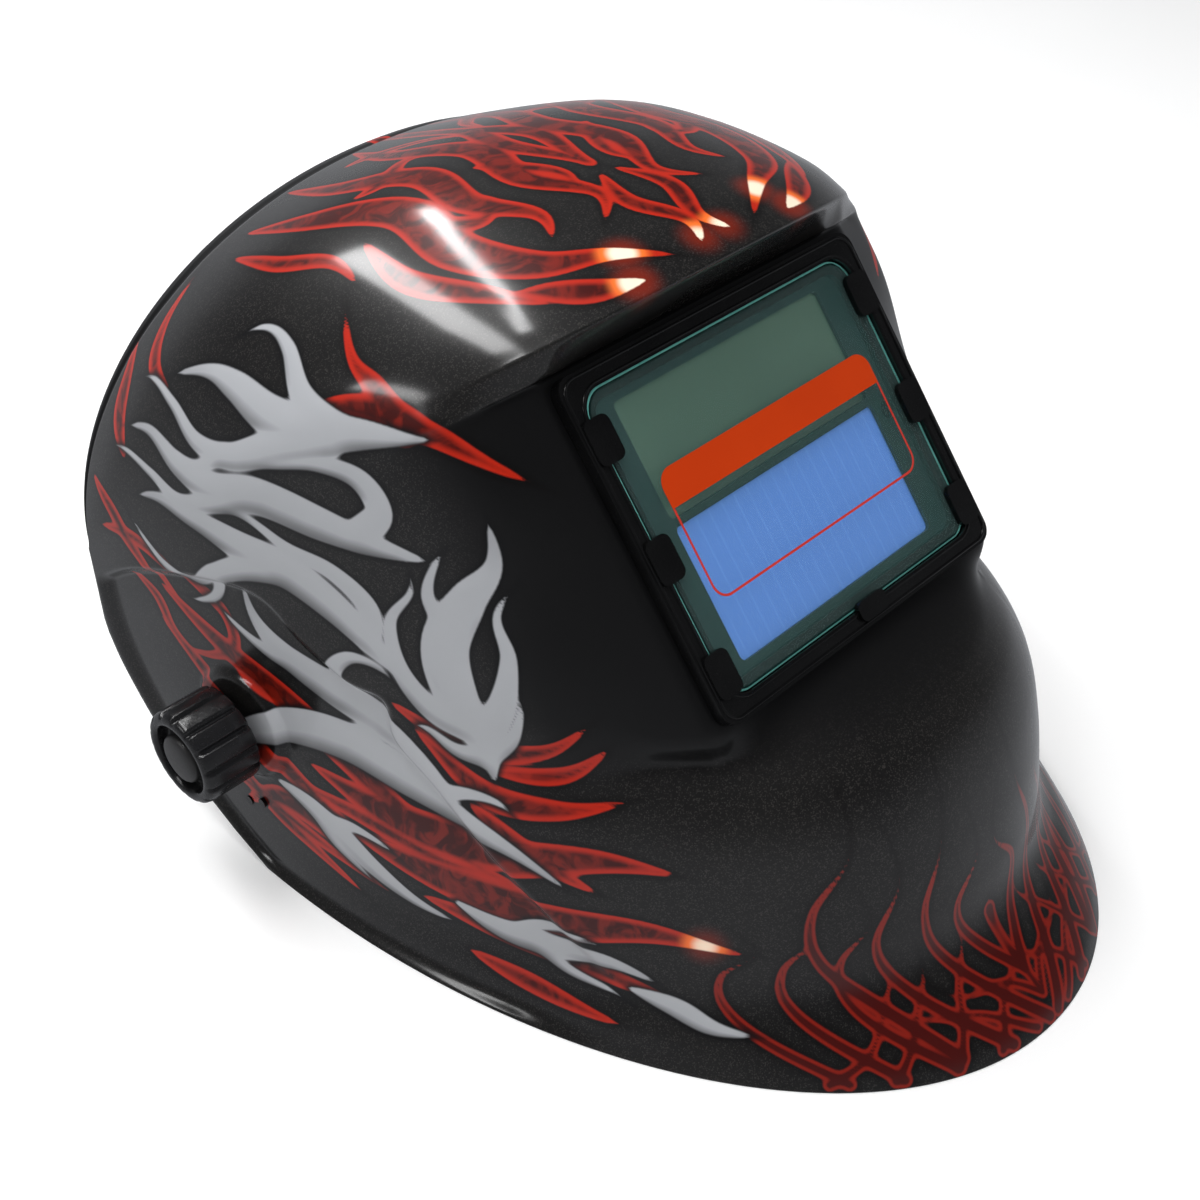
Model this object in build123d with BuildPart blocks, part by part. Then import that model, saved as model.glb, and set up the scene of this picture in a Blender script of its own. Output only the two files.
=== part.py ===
"""Auto-darkening welding helmet: moulded shell, window assembly, filter cartridge and headgear.

The front of the helmet faces -Y, the wearer's left is +X, and it stands on its lower rim at z = 0.
"""
import os
from math import acos, cos, hypot, pi, radians, sin
from typing import NamedTuple

from build123d import *

# ---------------------------------------------------------------- driving dimensions, mm
SIDE = 124.0            # half width of the shell at its rear rim
WALL = 2.5              # moulded wall
KNEE_X = 84.0           # half width at the temple crease
EDGE_X = 60.0           # half width at the front corner of an arch

WINDOW_Y = -58.0        # centre of the window plane
WINDOW_Z = 140.0
WINDOW_LEAN = 39.08     # degrees that the window leans back from upright
FRAME_W, FRAME_H = 121.0, 102.0
LENS_W, LENS_H, LENS_T = 110.0, 90.0, 1.2
LENS_RADIUS = 8.0
SLEEVE_W, SLEEVE_H = 113.6, 93.6
OPENING_CLEAR = 0.2
OPENING_FROM, OPENING_CUT = -40.0, 60.0     # where the cut for the window starts, and its length
FILTER_DEPTH = 10.0

PIVOT_Y, PIVOT_Z = 49.0, 55.0
BOSS_R = 19.0
BOSS_IN, BOSS_OUT = 117.5, 124.0
SLIP = 0.05             # clearance round bolts, pegs and spindles
BOLT_R = 5.0
BORE_R = BOLT_R + SLIP
KNOB_R, KNOB_END = 15.6, 143.0
PEGS = ((50.0, 22.0), (43.0, 25.5))
PEG_R = 1.6
STOP_R, STOP_CLEAR = 15.0, 0.4
POCKET_DEPTH = 5.0      # pocket behind each boss, for the stop plate
THROUGH = 20.0          # more than enough to cut through a boss
JOIN = 0.2              # overlap of two drawn runs of one band
BLANK = 200.0           # square that cuts away all beyond a line

BAND_Z = PIVOT_Z - 14.0
BAND_H = 28.0
BAND_T = 1.8
FRONT_BEND_Y = 47.0     # where the front band starts to curve
REAR_BEND_Y = 82.0      # where the rear bands start to curve
FRONT_RX, FRONT_RY = 78.9, 88.0
REAR_RX, REAR_RY = 76.7, 72.0
RATCHET_Y = 141.0


class Row(NamedTuple):
    """A flat arch of the shell, from ear to ear: its ends on the rear rim and its middle in front."""

    front_y: float
    front_z: float
    rear_y: float
    rear_z: float
    power: float
    inset: float
    knee_x: float = KNEE_X
    knee: float = 0.0
    edge_x: float = EDGE_X


def window_point(up, out=0.0):
    """(y, z) of a point in the window's own directions."""
    lean = radians(WINDOW_LEAN)
    return (
        WINDOW_Y + up * sin(lean) - out * cos(lean),
        WINDOW_Z + up * cos(lean) + out * sin(lean),
    )


CHIN_ROWS = [
    Row(-174.0, 0.0, 41.0, 0.0, 2.05, 3.2),
    Row(-170.5, 4.5, 47.0, 2.5, 2.05, 3.4),
    Row(-162.0, 11.0, 56.0, 6.0, 2.1, 3.6),
    Row(-152.0, 18.0, 64.0, 10.0, 2.12, 3.6),
    Row(-146.0, 26.0, 72.0, 14.0, 2.15, 3.2),
    Row(-143.0, 40.0, 82.0, 20.0, 2.2, 2.8),
    Row(-139.0, 58.0, 93.0, 28.0, 2.25, 2.8),
    Row(-134.0, 74.0, 102.0, 38.0, 2.25, 3.0),
    Row(-127.0, 86.0, 109.0, 48.0, 2.15, 4.0),
    Row(-116.0, 94.0, 113.0, 57.0, 2.05, 6.5),
]
WINDOW_ROWS = [
    Row(*window_point(-54.0), 114.0, 62.0, 2.1, 3.0, 84.0, 0.86, 63.0),
    Row(*window_point(-29.0), 114.0, 69.0, 2.1, 3.0, 87.0, 0.865, 63.0),
    Row(*window_point(0.0), 114.0, 75.0, 2.1, 3.0, 86.0, 0.89, 63.0),
    Row(*window_point(30.0), 114.0, 79.0, 2.2, 3.0, 84.0, 0.94, 63.0),
    Row(*window_point(53.0), 114.0, 81.0, 2.3, 3.2, 85.0, 0.935, 63.0),
    Row(-26.5, 182.7, 114.0, 82.0, 2.3, 4.0, 86.0, 0.925, 62.0),
]
CROWN_ROWS = [
    Row(-38.0, 200.0, 114.0, 84.0, 2.47, 6.5, 86.0),
    Row(-18.0, 205.5, 114.0, 86.0, 2.5, 3.6, 86.0),
    Row(22.0, 208.0, 114.0, 88.0, 2.45, 3.2, 86.0),
    Row(62.0, 203.5, 114.0, 90.0, 2.35, 2.9, 86.0),
    Row(113.0, 185.5, 113.0, 92.0, 2.1, 2.6, 86.0),
]


def smooth_rows(rows, steps):
    """Rows spaced evenly on a Catmull-Rom curve through the given rows."""
    ends = [rows[0], *rows, rows[-1]]
    result = []
    for a, b, c, d in zip(ends, ends[1:], ends[2:], ends[3:]):
        for step in range(steps):
            t = step / steps
            weights = (
                (-t + 2 * t**2 - t**3) / 2,
                (2 - 5 * t**2 + 3 * t**3) / 2,
                (t + 4 * t**2 - 3 * t**3) / 2,
                (-(t**2) + t**3) / 2,
            )
            result.append(Row(*(sum(w * v for w, v in zip(weights, vs)) for vs in zip(a, b, c, d))))
    return result + [rows[-1]]


def half_arch(row, inner):
    """Points of half an arch in its own plane, in three runs: cheek, flank and front."""
    reach = hypot(row.front_y - row.rear_y, row.front_z - row.rear_z)
    half = SIDE - (WALL if inner else 0.0)
    depth = reach - (row.inset if inner else 0.0)
    knee_x = row.knee_x - (WALL if inner else 0.0)
    edge_x = row.edge_x - (WALL * 0.6 if inner else 0.0)
    power = row.power

    def on_curve(angle, length):
        return half * cos(angle) ** (2 / power), length * sin(angle) ** (2 / power)

    knee_angle = acos((knee_x / half) ** (power / 2))
    if row.knee > 0.5:
        knee_r = reach * row.knee - (WALL if inner else 0.0)
        length = knee_r / sin(knee_angle) ** (2 / power)
        flank = [((knee_x + edge_x) / 2, (knee_r + depth) / 2), (edge_x, depth)]
        front = [(edge_x * k, depth) for k in (0.67, 0.33, 0.0)]
    else:
        length = depth
        edge_angle = acos((edge_x / half) ** (power / 2))
        flank = [on_curve(a, length) for a in ((knee_angle + edge_angle) / 2, edge_angle)]
        gap = pi / 2 - edge_angle
        front = [on_curve(edge_angle + gap * k, length) for k in (0.35, 0.7)] + [(0.0, depth)]
    cheek = [on_curve(knee_angle * k / 7, length) for k in range(8)]
    return cheek, [cheek[-1], *flank], [flank[-1], *front]


def mirrored(points):
    """The other half of an outline, in reverse order."""
    return [(-x, r) for x, r in reversed(points)]


def row_plane(row):
    """The plane of an arch, with its origin between the ends."""
    along = Vector(0, row.front_y - row.rear_y, row.front_z - row.rear_z).normalized()
    return Plane(origin=(0, row.rear_y, row.rear_z), x_dir=(1, 0, 0), z_dir=Vector(1, 0, 0).cross(along))


SHELL_ROWS = [
    *smooth_rows(CHIN_ROWS, 2),
    *smooth_rows(WINDOW_ROWS[:5], 2),
    WINDOW_ROWS[5],
    *smooth_rows(CROWN_ROWS, 5),
]

WINDOW = Plane(
    origin=(0, WINDOW_Y, WINDOW_Z),
    x_dir=(1, 0, 0),
    z_dir=(0, -cos(radians(WINDOW_LEAN)), sin(radians(WINDOW_LEAN))),
)
SIDES = {"left": 1, "right": -1}

os.makedirs("parts", exist_ok=True)


def save(builder, name):
    """Label a finished piece and write it."""
    builder.part.label = name
    export_step(builder.part, f"parts/{name}.step")


def side_plane(side, x):
    """A plane across the pivot axis at distance x from the middle, facing outwards."""
    return Plane(origin=(side * x, PIVOT_Y, PIVOT_Z), x_dir=(0, side, 0), z_dir=(side, 0, 0))


# ---------------------------------------------------------------- shell
with BuildPart() as shell:
    for shell_row in SHELL_ROWS:
        with BuildSketch(row_plane(shell_row)):
            with BuildLine():
                outer = half_arch(shell_row, inner=False)
                inner = half_arch(shell_row, inner=True)
                Spline(*outer[0])
                Spline(*outer[1])
                Spline(*outer[2], *mirrored(outer[2])[1:])
                Spline(*mirrored(outer[1]))
                Spline(*mirrored(outer[0]))
                Line((-outer[0][0][0], 0), (-inner[0][0][0], 0))
                Spline(*(mirrored(inner[0])[::-1]))
                Spline(*(mirrored(inner[1])[::-1]))
                Spline(*(mirrored(inner[2])[::-1]), *inner[2][::-1][1:])
                Spline(*inner[1][::-1])
                Spline(*inner[0][::-1])
                Line((inner[0][0][0], 0), (outer[0][0][0], 0))
            make_face()
    loft(ruled=True)
    with BuildSketch(WINDOW.offset(OPENING_FROM)):
        Rectangle(SLEEVE_W + 2 * OPENING_CLEAR, SLEEVE_H + 2 * OPENING_CLEAR)
    extrude(amount=OPENING_CUT, mode=Mode.SUBTRACT)
    for sign in SIDES.values():
        with BuildSketch(side_plane(sign, BOSS_IN)):
            Circle(BOSS_R)
        extrude(amount=BOSS_OUT - BOSS_IN)
        with BuildSketch(side_plane(sign, BOSS_IN - POCKET_DEPTH)):
            Circle(STOP_R + STOP_CLEAR)
        extrude(amount=POCKET_DEPTH, mode=Mode.SUBTRACT)
        with BuildSketch(side_plane(sign, BOSS_IN - POCKET_DEPTH)):
            Circle(BORE_R)
        extrude(amount=THROUGH, mode=Mode.SUBTRACT)
        with BuildSketch(side_plane(sign, BOSS_IN)):
            with Locations(*[(sign * (y - PIVOT_Y), z - PIVOT_Z) for y, z in PEGS]):
                Circle(PEG_R + SLIP)
        extrude(amount=THROUGH, mode=Mode.SUBTRACT)
save(shell, "shell")

# ---------------------------------------------------------------- window
FRAME_T, FRAME_RADIUS, FRAME_GAP = 4.0, 5.0, 0.05
SLEEVE_DEPTH, SLEEVE_RADIUS = 16.0, 2.0
LENS_SEAT, LENS_FIT = 2.0, 0.6      # how far the seat stands out of the window plane, and its clearance
SEAT_T, LEDGE_W = 1.0, 3.5
CASE_FIT = 0.4
TAB_UP = (32.0, -3.0, -37.0)
TAB_W, TAB_H, TAB_T, TAB_RADIUS = 9.0, 13.0, 1.6, 2.5
TAB_OUT, TAB_INSET = 3.6, 0.4
FOOT_TAB_W, FOOT_TAB_H, FOOT_TAB_RADIUS = 12.0, 6.0, 2.0
FOOT_TAB_AT = (4.0, -LENS_H / 2 - 1.2)
LENS_CHAMFER = 0.3
FILM_T, FILM_MARGIN = 0.2, 1.0

with BuildPart() as window_frame:
    with BuildSketch(WINDOW.offset(FRAME_GAP)):
        RectangleRounded(FRAME_W, FRAME_H, FRAME_RADIUS)
    extrude(amount=FRAME_T)
    with BuildSketch(WINDOW.offset(LENS_SEAT)):
        RectangleRounded(LENS_W + LENS_FIT, LENS_H + LENS_FIT, LENS_RADIUS)
    extrude(amount=FRAME_T, mode=Mode.SUBTRACT)
    with BuildSketch(WINDOW.offset(-SLEEVE_DEPTH)):
        RectangleRounded(SLEEVE_W, SLEEVE_H, SLEEVE_RADIUS)
    extrude(amount=SLEEVE_DEPTH + SEAT_T)
    with BuildSketch(WINDOW.offset(-SLEEVE_DEPTH - SEAT_T)):
        Rectangle(LENS_W + CASE_FIT, LENS_H + CASE_FIT)
    extrude(amount=SLEEVE_DEPTH + SEAT_T, mode=Mode.SUBTRACT)
    with BuildSketch(WINDOW.offset(-SEAT_T)):
        RectangleRounded(LENS_W - 2 * LEDGE_W, LENS_H - 2 * LEDGE_W, FRAME_RADIUS)
    extrude(amount=FRAME_T + 2 * SEAT_T, mode=Mode.SUBTRACT)
    with BuildSketch(WINDOW.offset(TAB_OUT)):
        with Locations(*[(s * (LENS_W / 2 - TAB_INSET), up) for s in (-1, 1) for up in TAB_UP]):
            RectangleRounded(TAB_W, TAB_H, TAB_RADIUS)
        with Locations(FOOT_TAB_AT):
            RectangleRounded(FOOT_TAB_W, FOOT_TAB_H, FOOT_TAB_RADIUS)
    extrude(amount=TAB_T)
save(window_frame, "window_frame")

with BuildPart() as cover_lens:
    with BuildSketch(WINDOW.offset(LENS_SEAT)):
        RectangleRounded(LENS_W, LENS_H, LENS_RADIUS)
    extrude(amount=LENS_T)
    chamfer(cover_lens.faces().sort_by(Axis(WINDOW.origin, WINDOW.z_dir))[-1].edges(), LENS_CHAMFER)
save(cover_lens, "cover_lens")

with BuildPart() as protective_film:
    with BuildSketch(WINDOW.offset(LENS_SEAT + LENS_T)):
        RectangleRounded(LENS_W - 2 * FILM_MARGIN, LENS_H - 2 * FILM_MARGIN, LENS_RADIUS - FILM_MARGIN)
    extrude(amount=FILM_T)
save(protective_film, "protective_film")

# ---------------------------------------------------------------- auto-darkening filter cartridge
CASE_WALL, CASE_FACE, CASE_RADIUS = 2.0, 1.2, 1.0
CASE_GAP, CASE_SPLIT = 0.2, 6.0     # depths of the case's front and of the joint between its halves
REAR_FACE = 1.4
VIEW_UP, VIEW_W, VIEW_H, VIEW_RADIUS = 21.5, 86.0, 35.0, 2.0
SOLAR_UP, SOLAR_W, SOLAR_H = -18.5, 86.0, 41.0
SENSOR_SITES = ((-48.5, -2.0), (48.5, -2.0))
SENSOR_R, SENSOR_CLEAR, SENSOR_T = 2.4, 0.4, 3.4
CELL_SITES = ((-32.0, -22.0), (32.0, -22.0))
CELL_R, CELL_T = 8.0, 1.6
SHADE_SITE, SENSITIVITY_SITE, DELAY_SITE = (-30.0, -30.0), (30.0, -30.0), (0.0, -30.0)
SPINDLE_R, SPINDLE_LENGTH, SPINDLE_TIP = 3.0, 5.0, 1.6
SWITCH_W, SWITCH_H, SWITCH_LENGTH, SWITCH_TRAVEL = 5.0, 2.9, 4.0, 6.0
LCD_DEPTH, LCD_T = 4.6, 3.0
SOLAR_DEPTH, SOLAR_T = 3.0, 1.4
BOARD_DEPTH, BOARD_T = 6.2, 1.0
ON_BOARD = 5.1          # depth of what is soldered on the board
INNER_LENS_T = 1.0

with BuildPart() as filter_front:
    with BuildSketch(WINDOW.offset(-CASE_SPLIT)):
        RectangleRounded(LENS_W, LENS_H, CASE_RADIUS)
    extrude(amount=CASE_SPLIT - CASE_GAP)
    with BuildSketch(WINDOW.offset(-CASE_SPLIT)):
        Rectangle(LENS_W - 2 * CASE_WALL, LENS_H - 2 * CASE_WALL)
    extrude(amount=CASE_SPLIT - CASE_GAP - CASE_FACE, mode=Mode.SUBTRACT)
    with BuildSketch(WINDOW.offset(-CASE_SPLIT)):
        with Locations((0, VIEW_UP)):
            RectangleRounded(VIEW_W, VIEW_H, VIEW_RADIUS)
        with Locations((0, SOLAR_UP)):
            RectangleRounded(SOLAR_W, SOLAR_H, VIEW_RADIUS)
        with Locations(*SENSOR_SITES):
            Circle(SENSOR_R + SENSOR_CLEAR)
    extrude(amount=FILTER_DEPTH, mode=Mode.SUBTRACT)
save(filter_front, "filter_front")

with BuildPart() as filter_rear:
    with BuildSketch(WINDOW.offset(-FILTER_DEPTH)):
        RectangleRounded(LENS_W, LENS_H, CASE_RADIUS)
    extrude(amount=FILTER_DEPTH - CASE_SPLIT)
    with BuildSketch(WINDOW.offset(-FILTER_DEPTH + REAR_FACE)):
        Rectangle(LENS_W - 2 * CASE_WALL, LENS_H - 2 * CASE_WALL)
    extrude(amount=FILTER_DEPTH, mode=Mode.SUBTRACT)
    with BuildSketch(WINDOW.offset(-FILTER_DEPTH - REAR_FACE)):
        with Locations((0, VIEW_UP)):
            RectangleRounded(VIEW_W, VIEW_H, VIEW_RADIUS)
        with Locations(SHADE_SITE, SENSITIVITY_SITE):
            Circle(SPINDLE_R + SLIP)
        with Locations(DELAY_SITE):
            Rectangle(SWITCH_W + SWITCH_TRAVEL + 1, SWITCH_H + 2 * SLIP)
    extrude(amount=3 * REAR_FACE, mode=Mode.SUBTRACT)
save(filter_rear, "filter_rear")

with BuildPart() as lcd_filter:
    with BuildSketch(WINDOW.offset(-LCD_DEPTH)):
        with Locations((0, VIEW_UP)):
            Rectangle(VIEW_W + 6, VIEW_H + 4)
    extrude(amount=LCD_T)
save(lcd_filter, "lcd_filter")

with BuildPart() as solar_panel:
    with BuildSketch(WINDOW.offset(-SOLAR_DEPTH)):
        with Locations((0, SOLAR_UP - 0.5)):
            Rectangle(SOLAR_W + 4, SOLAR_H)
    extrude(amount=SOLAR_T)
save(solar_panel, "solar_panel")

with BuildPart() as circuit_board:
    with BuildSketch(WINDOW.offset(-BOARD_DEPTH)):
        Rectangle(LENS_W - 6, LENS_H - 6)
        with Locations((0, VIEW_UP)):
            Rectangle(VIEW_W + 8, VIEW_H + 6, mode=Mode.SUBTRACT)
        with Locations((0, LENS_H / 2)):
            Rectangle(LENS_W, 8, mode=Mode.SUBTRACT)
    extrude(amount=BOARD_T)
save(circuit_board, "circuit_board")

with BuildPart() as battery_cells:
    with BuildSketch(WINDOW.offset(-ON_BOARD)):
        with Locations(*CELL_SITES):
            Circle(CELL_R)
    extrude(amount=CELL_T)
save(battery_cells, "battery_cells")

with BuildPart() as arc_sensors:
    with BuildSketch(WINDOW.offset(-ON_BOARD)):
        with Locations(*SENSOR_SITES):
            Circle(SENSOR_R)
    extrude(amount=SENSOR_T)
save(arc_sensors, "arc_sensors")

with BuildPart() as inner_lens:
    with BuildSketch(WINDOW.offset(-FILTER_DEPTH - INNER_LENS_T)):
        with Locations((0, VIEW_UP - 1)):
            RectangleRounded(VIEW_W + 12, VIEW_H + 6, 3)
    extrude(amount=INNER_LENS_T)
save(inner_lens, "inner_lens")

# Holder that keeps the cartridge in the sleeve from behind, with its two spring wires
HOLDER_DEPTH, FLANGE_DEPTH = 16.1, 19.0
HOLDER_RIM = 3.0
WIRE_T, WIRE_DEPTH = 1.6, 14.5

with BuildPart() as filter_holder:
    with BuildSketch(WINDOW.offset(-HOLDER_DEPTH)):
        RectangleRounded(LENS_W, LENS_H, SLEEVE_RADIUS)
        RectangleRounded(LENS_W - 2 * HOLDER_RIM, LENS_H - 2 * HOLDER_RIM, SLEEVE_RADIUS, mode=Mode.SUBTRACT)
    extrude(amount=HOLDER_DEPTH - FILTER_DEPTH - SLIP)
    with BuildSketch(WINDOW.offset(-FLANGE_DEPTH)):
        RectangleRounded(FRAME_W + 1, FRAME_H - 4, 4)
        RectangleRounded(LENS_W - 2 * HOLDER_RIM, LENS_H - 2 * HOLDER_RIM, SLEEVE_RADIUS, mode=Mode.SUBTRACT)
    extrude(amount=FLANGE_DEPTH - HOLDER_DEPTH)
save(filter_holder, "filter_holder")

with BuildPart() as retaining_wires:
    for wire_up in (-LENS_H / 2 + 2 * HOLDER_RIM, LENS_H / 2 - 2 * HOLDER_RIM):
        with BuildSketch(WINDOW.offset(-WIRE_DEPTH)):
            with Locations((0, wire_up)):
                Rectangle(LENS_W - 8, WIRE_T)
        extrude(amount=WIRE_T)
save(retaining_wires, "retaining_wires")

CONTROL_R, CONTROL_T, CONTROL_GAP = 6.0, 3.5, 0.3
FLUTES, FLUTE_R = 10, 0.9
MARK_W, MARK_H, MARK_DEPTH = 1.0, 4.0, 0.6


def rotary_control(site, name):
    """A small fluted control with its spindle in the filter's rear cover."""
    with BuildPart() as control:
        with BuildSketch(WINDOW.offset(-FILTER_DEPTH + SPINDLE_TIP)):
            with Locations(site):
                Circle(SPINDLE_R)
        extrude(amount=-SPINDLE_LENGTH)
        with BuildSketch(WINDOW.offset(-FILTER_DEPTH - CONTROL_GAP)):
            with Locations(site):
                Circle(CONTROL_R)
                with PolarLocations(CONTROL_R + 0.2, FLUTES):
                    Circle(FLUTE_R, mode=Mode.SUBTRACT)
        extrude(amount=-CONTROL_T)
        with BuildSketch(WINDOW.offset(-FILTER_DEPTH - CONTROL_GAP - CONTROL_T)):
            with Locations((site[0], site[1] + 2.5)):
                Rectangle(MARK_W, MARK_H)
        extrude(amount=MARK_DEPTH, mode=Mode.SUBTRACT)
    save(control, name)


rotary_control(SHADE_SITE, "shade_control")
rotary_control(SENSITIVITY_SITE, "sensitivity_control")

with BuildPart() as delay_switch:
    with BuildSketch(WINDOW.offset(-FILTER_DEPTH + SPINDLE_TIP)):
        with Locations((DELAY_SITE[0] - SWITCH_TRAVEL / 2, DELAY_SITE[1])):
            Rectangle(SWITCH_W, SWITCH_H)
    extrude(amount=-SWITCH_LENGTH)
save(delay_switch, "delay_switch")

# ---------------------------------------------------------------- headband
FRONT_STRAIGHT, REAR_STRAIGHT = 60.0, 19.0

with BuildPart() as front_band:
    with BuildSketch(Plane.XY.offset(BAND_Z)):
        with Locations((0, FRONT_BEND_Y)):
            Ellipse(FRONT_RX, FRONT_RY)
            Ellipse(FRONT_RX - BAND_T, FRONT_RY - BAND_T, mode=Mode.SUBTRACT)
        with Locations((0, FRONT_BEND_Y + BLANK / 2)):
            Rectangle(BLANK, BLANK, mode=Mode.SUBTRACT)
        with Locations(*[(s * (FRONT_RX - BAND_T / 2), FRONT_BEND_Y + FRONT_STRAIGHT / 2) for s in (-1, 1)]):
            Rectangle(BAND_T, FRONT_STRAIGHT + JOIN)
    extrude(amount=BAND_H)
save(front_band, "front_band")

# Rear bands: each carries a straight slotted rack that overlaps the other one in the ratchet
RACK_Z, RACK_W, RACK_H, RACK_T = PIVOT_Z, 57.0, 20.0, 1.8
RACK_FROM = 28.0        # half width at which a rear band turns into its rack
REAR_INSET = 2.0        # the rear bands are narrower than the front one
RACK_Y = {"left": 149.3, "right": 147.1}
SLOT_W, SLOT_HALF = 46.0, 6.6
TOOTH_PITCH, TOOTH_W, TOOTH_H = 3.2, 1.4, 1.2
TEETH_EACH_WAY = 6


def rear_band(name):
    """One rear band, from the side of the head to its rack in the ratchet."""
    side = SIDES[name]
    rack_y = RACK_Y[name]
    with BuildPart() as band:
        with BuildSketch(Plane.XY.offset(BAND_Z + REAR_INSET)):
            with Locations((0, REAR_BEND_Y)):
                Ellipse(REAR_RX, REAR_RY)
                Ellipse(REAR_RX - BAND_T, REAR_RY - BAND_T, mode=Mode.SUBTRACT)
            with Locations((0, REAR_BEND_Y - BLANK / 2)):
                Rectangle(BLANK, BLANK, mode=Mode.SUBTRACT)
            with Locations((-side * (BLANK / 2 - RACK_FROM), REAR_BEND_Y + BLANK / 4)):
                Rectangle(BLANK, BLANK, mode=Mode.SUBTRACT)
            with Locations((side * (REAR_RX - BAND_T / 2), REAR_BEND_Y - REAR_STRAIGHT / 2)):
                Rectangle(BAND_T, REAR_STRAIGHT + JOIN)
        extrude(amount=BAND_H - 2 * REAR_INSET)
        with BuildSketch(Plane.XY.offset(RACK_Z - RACK_H / 2)):
            with Locations((side * 1.5, rack_y + RACK_T / 2)):
                Rectangle(RACK_W, RACK_T)
            with Locations((side * 29.0, (RACK_Y["right"] + rack_y) / 2 + 0.5)):
                Rectangle(2.4, rack_y - RACK_Y["right"] + 3.0)
        extrude(amount=RACK_H)
        with BuildSketch(Plane.XZ.offset(-rack_y + 2)):
            with Locations((0, RACK_Z)):
                Rectangle(SLOT_W, 2 * SLOT_HALF)
        extrude(amount=-6, mode=Mode.SUBTRACT)
        with BuildSketch(Plane.XZ.offset(-rack_y)):
            for step in range(-TEETH_EACH_WAY, TEETH_EACH_WAY + 1):
                with Locations((step * TOOTH_PITCH, RACK_Z + side * (SLOT_HALF - 0.2))):
                    Rectangle(TOOTH_W, TOOTH_H)
        extrude(amount=-RACK_T)
    save(band, f"rear_band_{name}")


for side_name in SIDES:
    rear_band(side_name)

SWEAT_GAP, SWEAT_T, SWEAT_LAP = 0.3, 6.0, 2.0
SWEAT_END = 30.0        # how far before the bend the sweatband stops

with BuildPart() as sweatband:
    with BuildSketch(Plane.XY.offset(BAND_Z - SWEAT_LAP)):
        with Locations((0, FRONT_BEND_Y)):
            Ellipse(FRONT_RX - BAND_T - SWEAT_GAP, FRONT_RY - BAND_T - SWEAT_GAP)
            inset = BAND_T + SWEAT_GAP + SWEAT_T
            Ellipse(FRONT_RX - inset, FRONT_RY - inset, mode=Mode.SUBTRACT)
        with Locations((0, FRONT_BEND_Y - SWEAT_END + BLANK / 2)):
            Rectangle(BLANK, BLANK, mode=Mode.SUBTRACT)
    extrude(amount=BAND_H + 2 * SWEAT_LAP)
save(sweatband, "sweatband")

# ---------------------------------------------------------------- top straps
STRAP_RX, STRAP_RZ = 80.6, 104.0
STRAP_T = 1.6
STRAP_Y, STRAP_W = 58.5, 22.0
STRAP_FOOT_Z = BAND_Z + 22.0
STRAP_FOOT_H = 14.0
STRAP_LAP, STRAP_LIFT = 24.0, 2.0   # reach past the middle, and rise of the upper half over the lower
STUD_R, HOLE_R, HOLE_PITCH = 2.5, 2.6, 7.0


def top_strap(name):
    """One half of the strap over the head, which overlaps the other half at the top."""
    side = SIDES[name]
    lift = STRAP_LIFT if side > 0 else 0.0
    with BuildPart() as strap:
        with BuildSketch(Plane.XZ.offset(-STRAP_Y + STRAP_W / 2)):
            with Locations((0, STRAP_FOOT_Z)):
                Ellipse(STRAP_RX, STRAP_RZ + lift)
                Ellipse(STRAP_RX - STRAP_T, STRAP_RZ - STRAP_T + lift, mode=Mode.SUBTRACT)
            with Locations((0, STRAP_FOOT_Z - BLANK / 2)):
                Rectangle(BLANK, BLANK, mode=Mode.SUBTRACT)
            with Locations((-side * (BLANK + STRAP_LAP), STRAP_FOOT_Z)):
                Rectangle(2 * BLANK, 2 * BLANK, mode=Mode.SUBTRACT)
            with Locations((side * (STRAP_RX - STRAP_T / 2), STRAP_FOOT_Z - STRAP_FOOT_H / 2 + 0.3)):
                Rectangle(STRAP_T, STRAP_FOOT_H)
        extrude(amount=-STRAP_W)
        with BuildSketch(Plane.XY.offset(STRAP_FOOT_Z + STRAP_RZ - 20)):
            with Locations(*[(-side * step * HOLE_PITCH, STRAP_Y) for step in range(3)]):
                Circle(HOLE_R)
        extrude(amount=40, mode=Mode.SUBTRACT)
    save(strap, f"top_strap_{name}")


for side_name in SIDES:
    top_strap(side_name)

with BuildPart() as strap_stud:
    with BuildSketch(Plane.XY.offset(STRAP_FOOT_Z + STRAP_RZ - STRAP_T - 2.0)):
        with Locations((0, STRAP_Y)):
            Circle(5.5)
    extrude(amount=1.4)
    with BuildSketch(Plane.XY.offset(STRAP_FOOT_Z + STRAP_RZ - STRAP_T - 1.0)):
        with Locations((0, STRAP_Y)):
            Circle(STUD_R)
    extrude(amount=5.6)
save(strap_stud, "strap_stud")

# ---------------------------------------------------------------- ratchet
HOUSING_W, HOUSING_H, HOUSING_T = 64.0, 36.0, 17.0
HOUSING_WALL, HOUSING_RADIUS = 2.0, 5.0
COVER_T, SHAFT_R = 2.5, 4.0
RATCHET_KNOB_R, RATCHET_KNOB_T, RATCHET_GRIPS = 17.0, 13.3, 14
PINION_TEETH, PINION_ROOT_R, PINION_T = 9, 3.6, 12.0
PAD_W, PAD_H, PAD_T = 58.0, 32.0, 6.0

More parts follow.
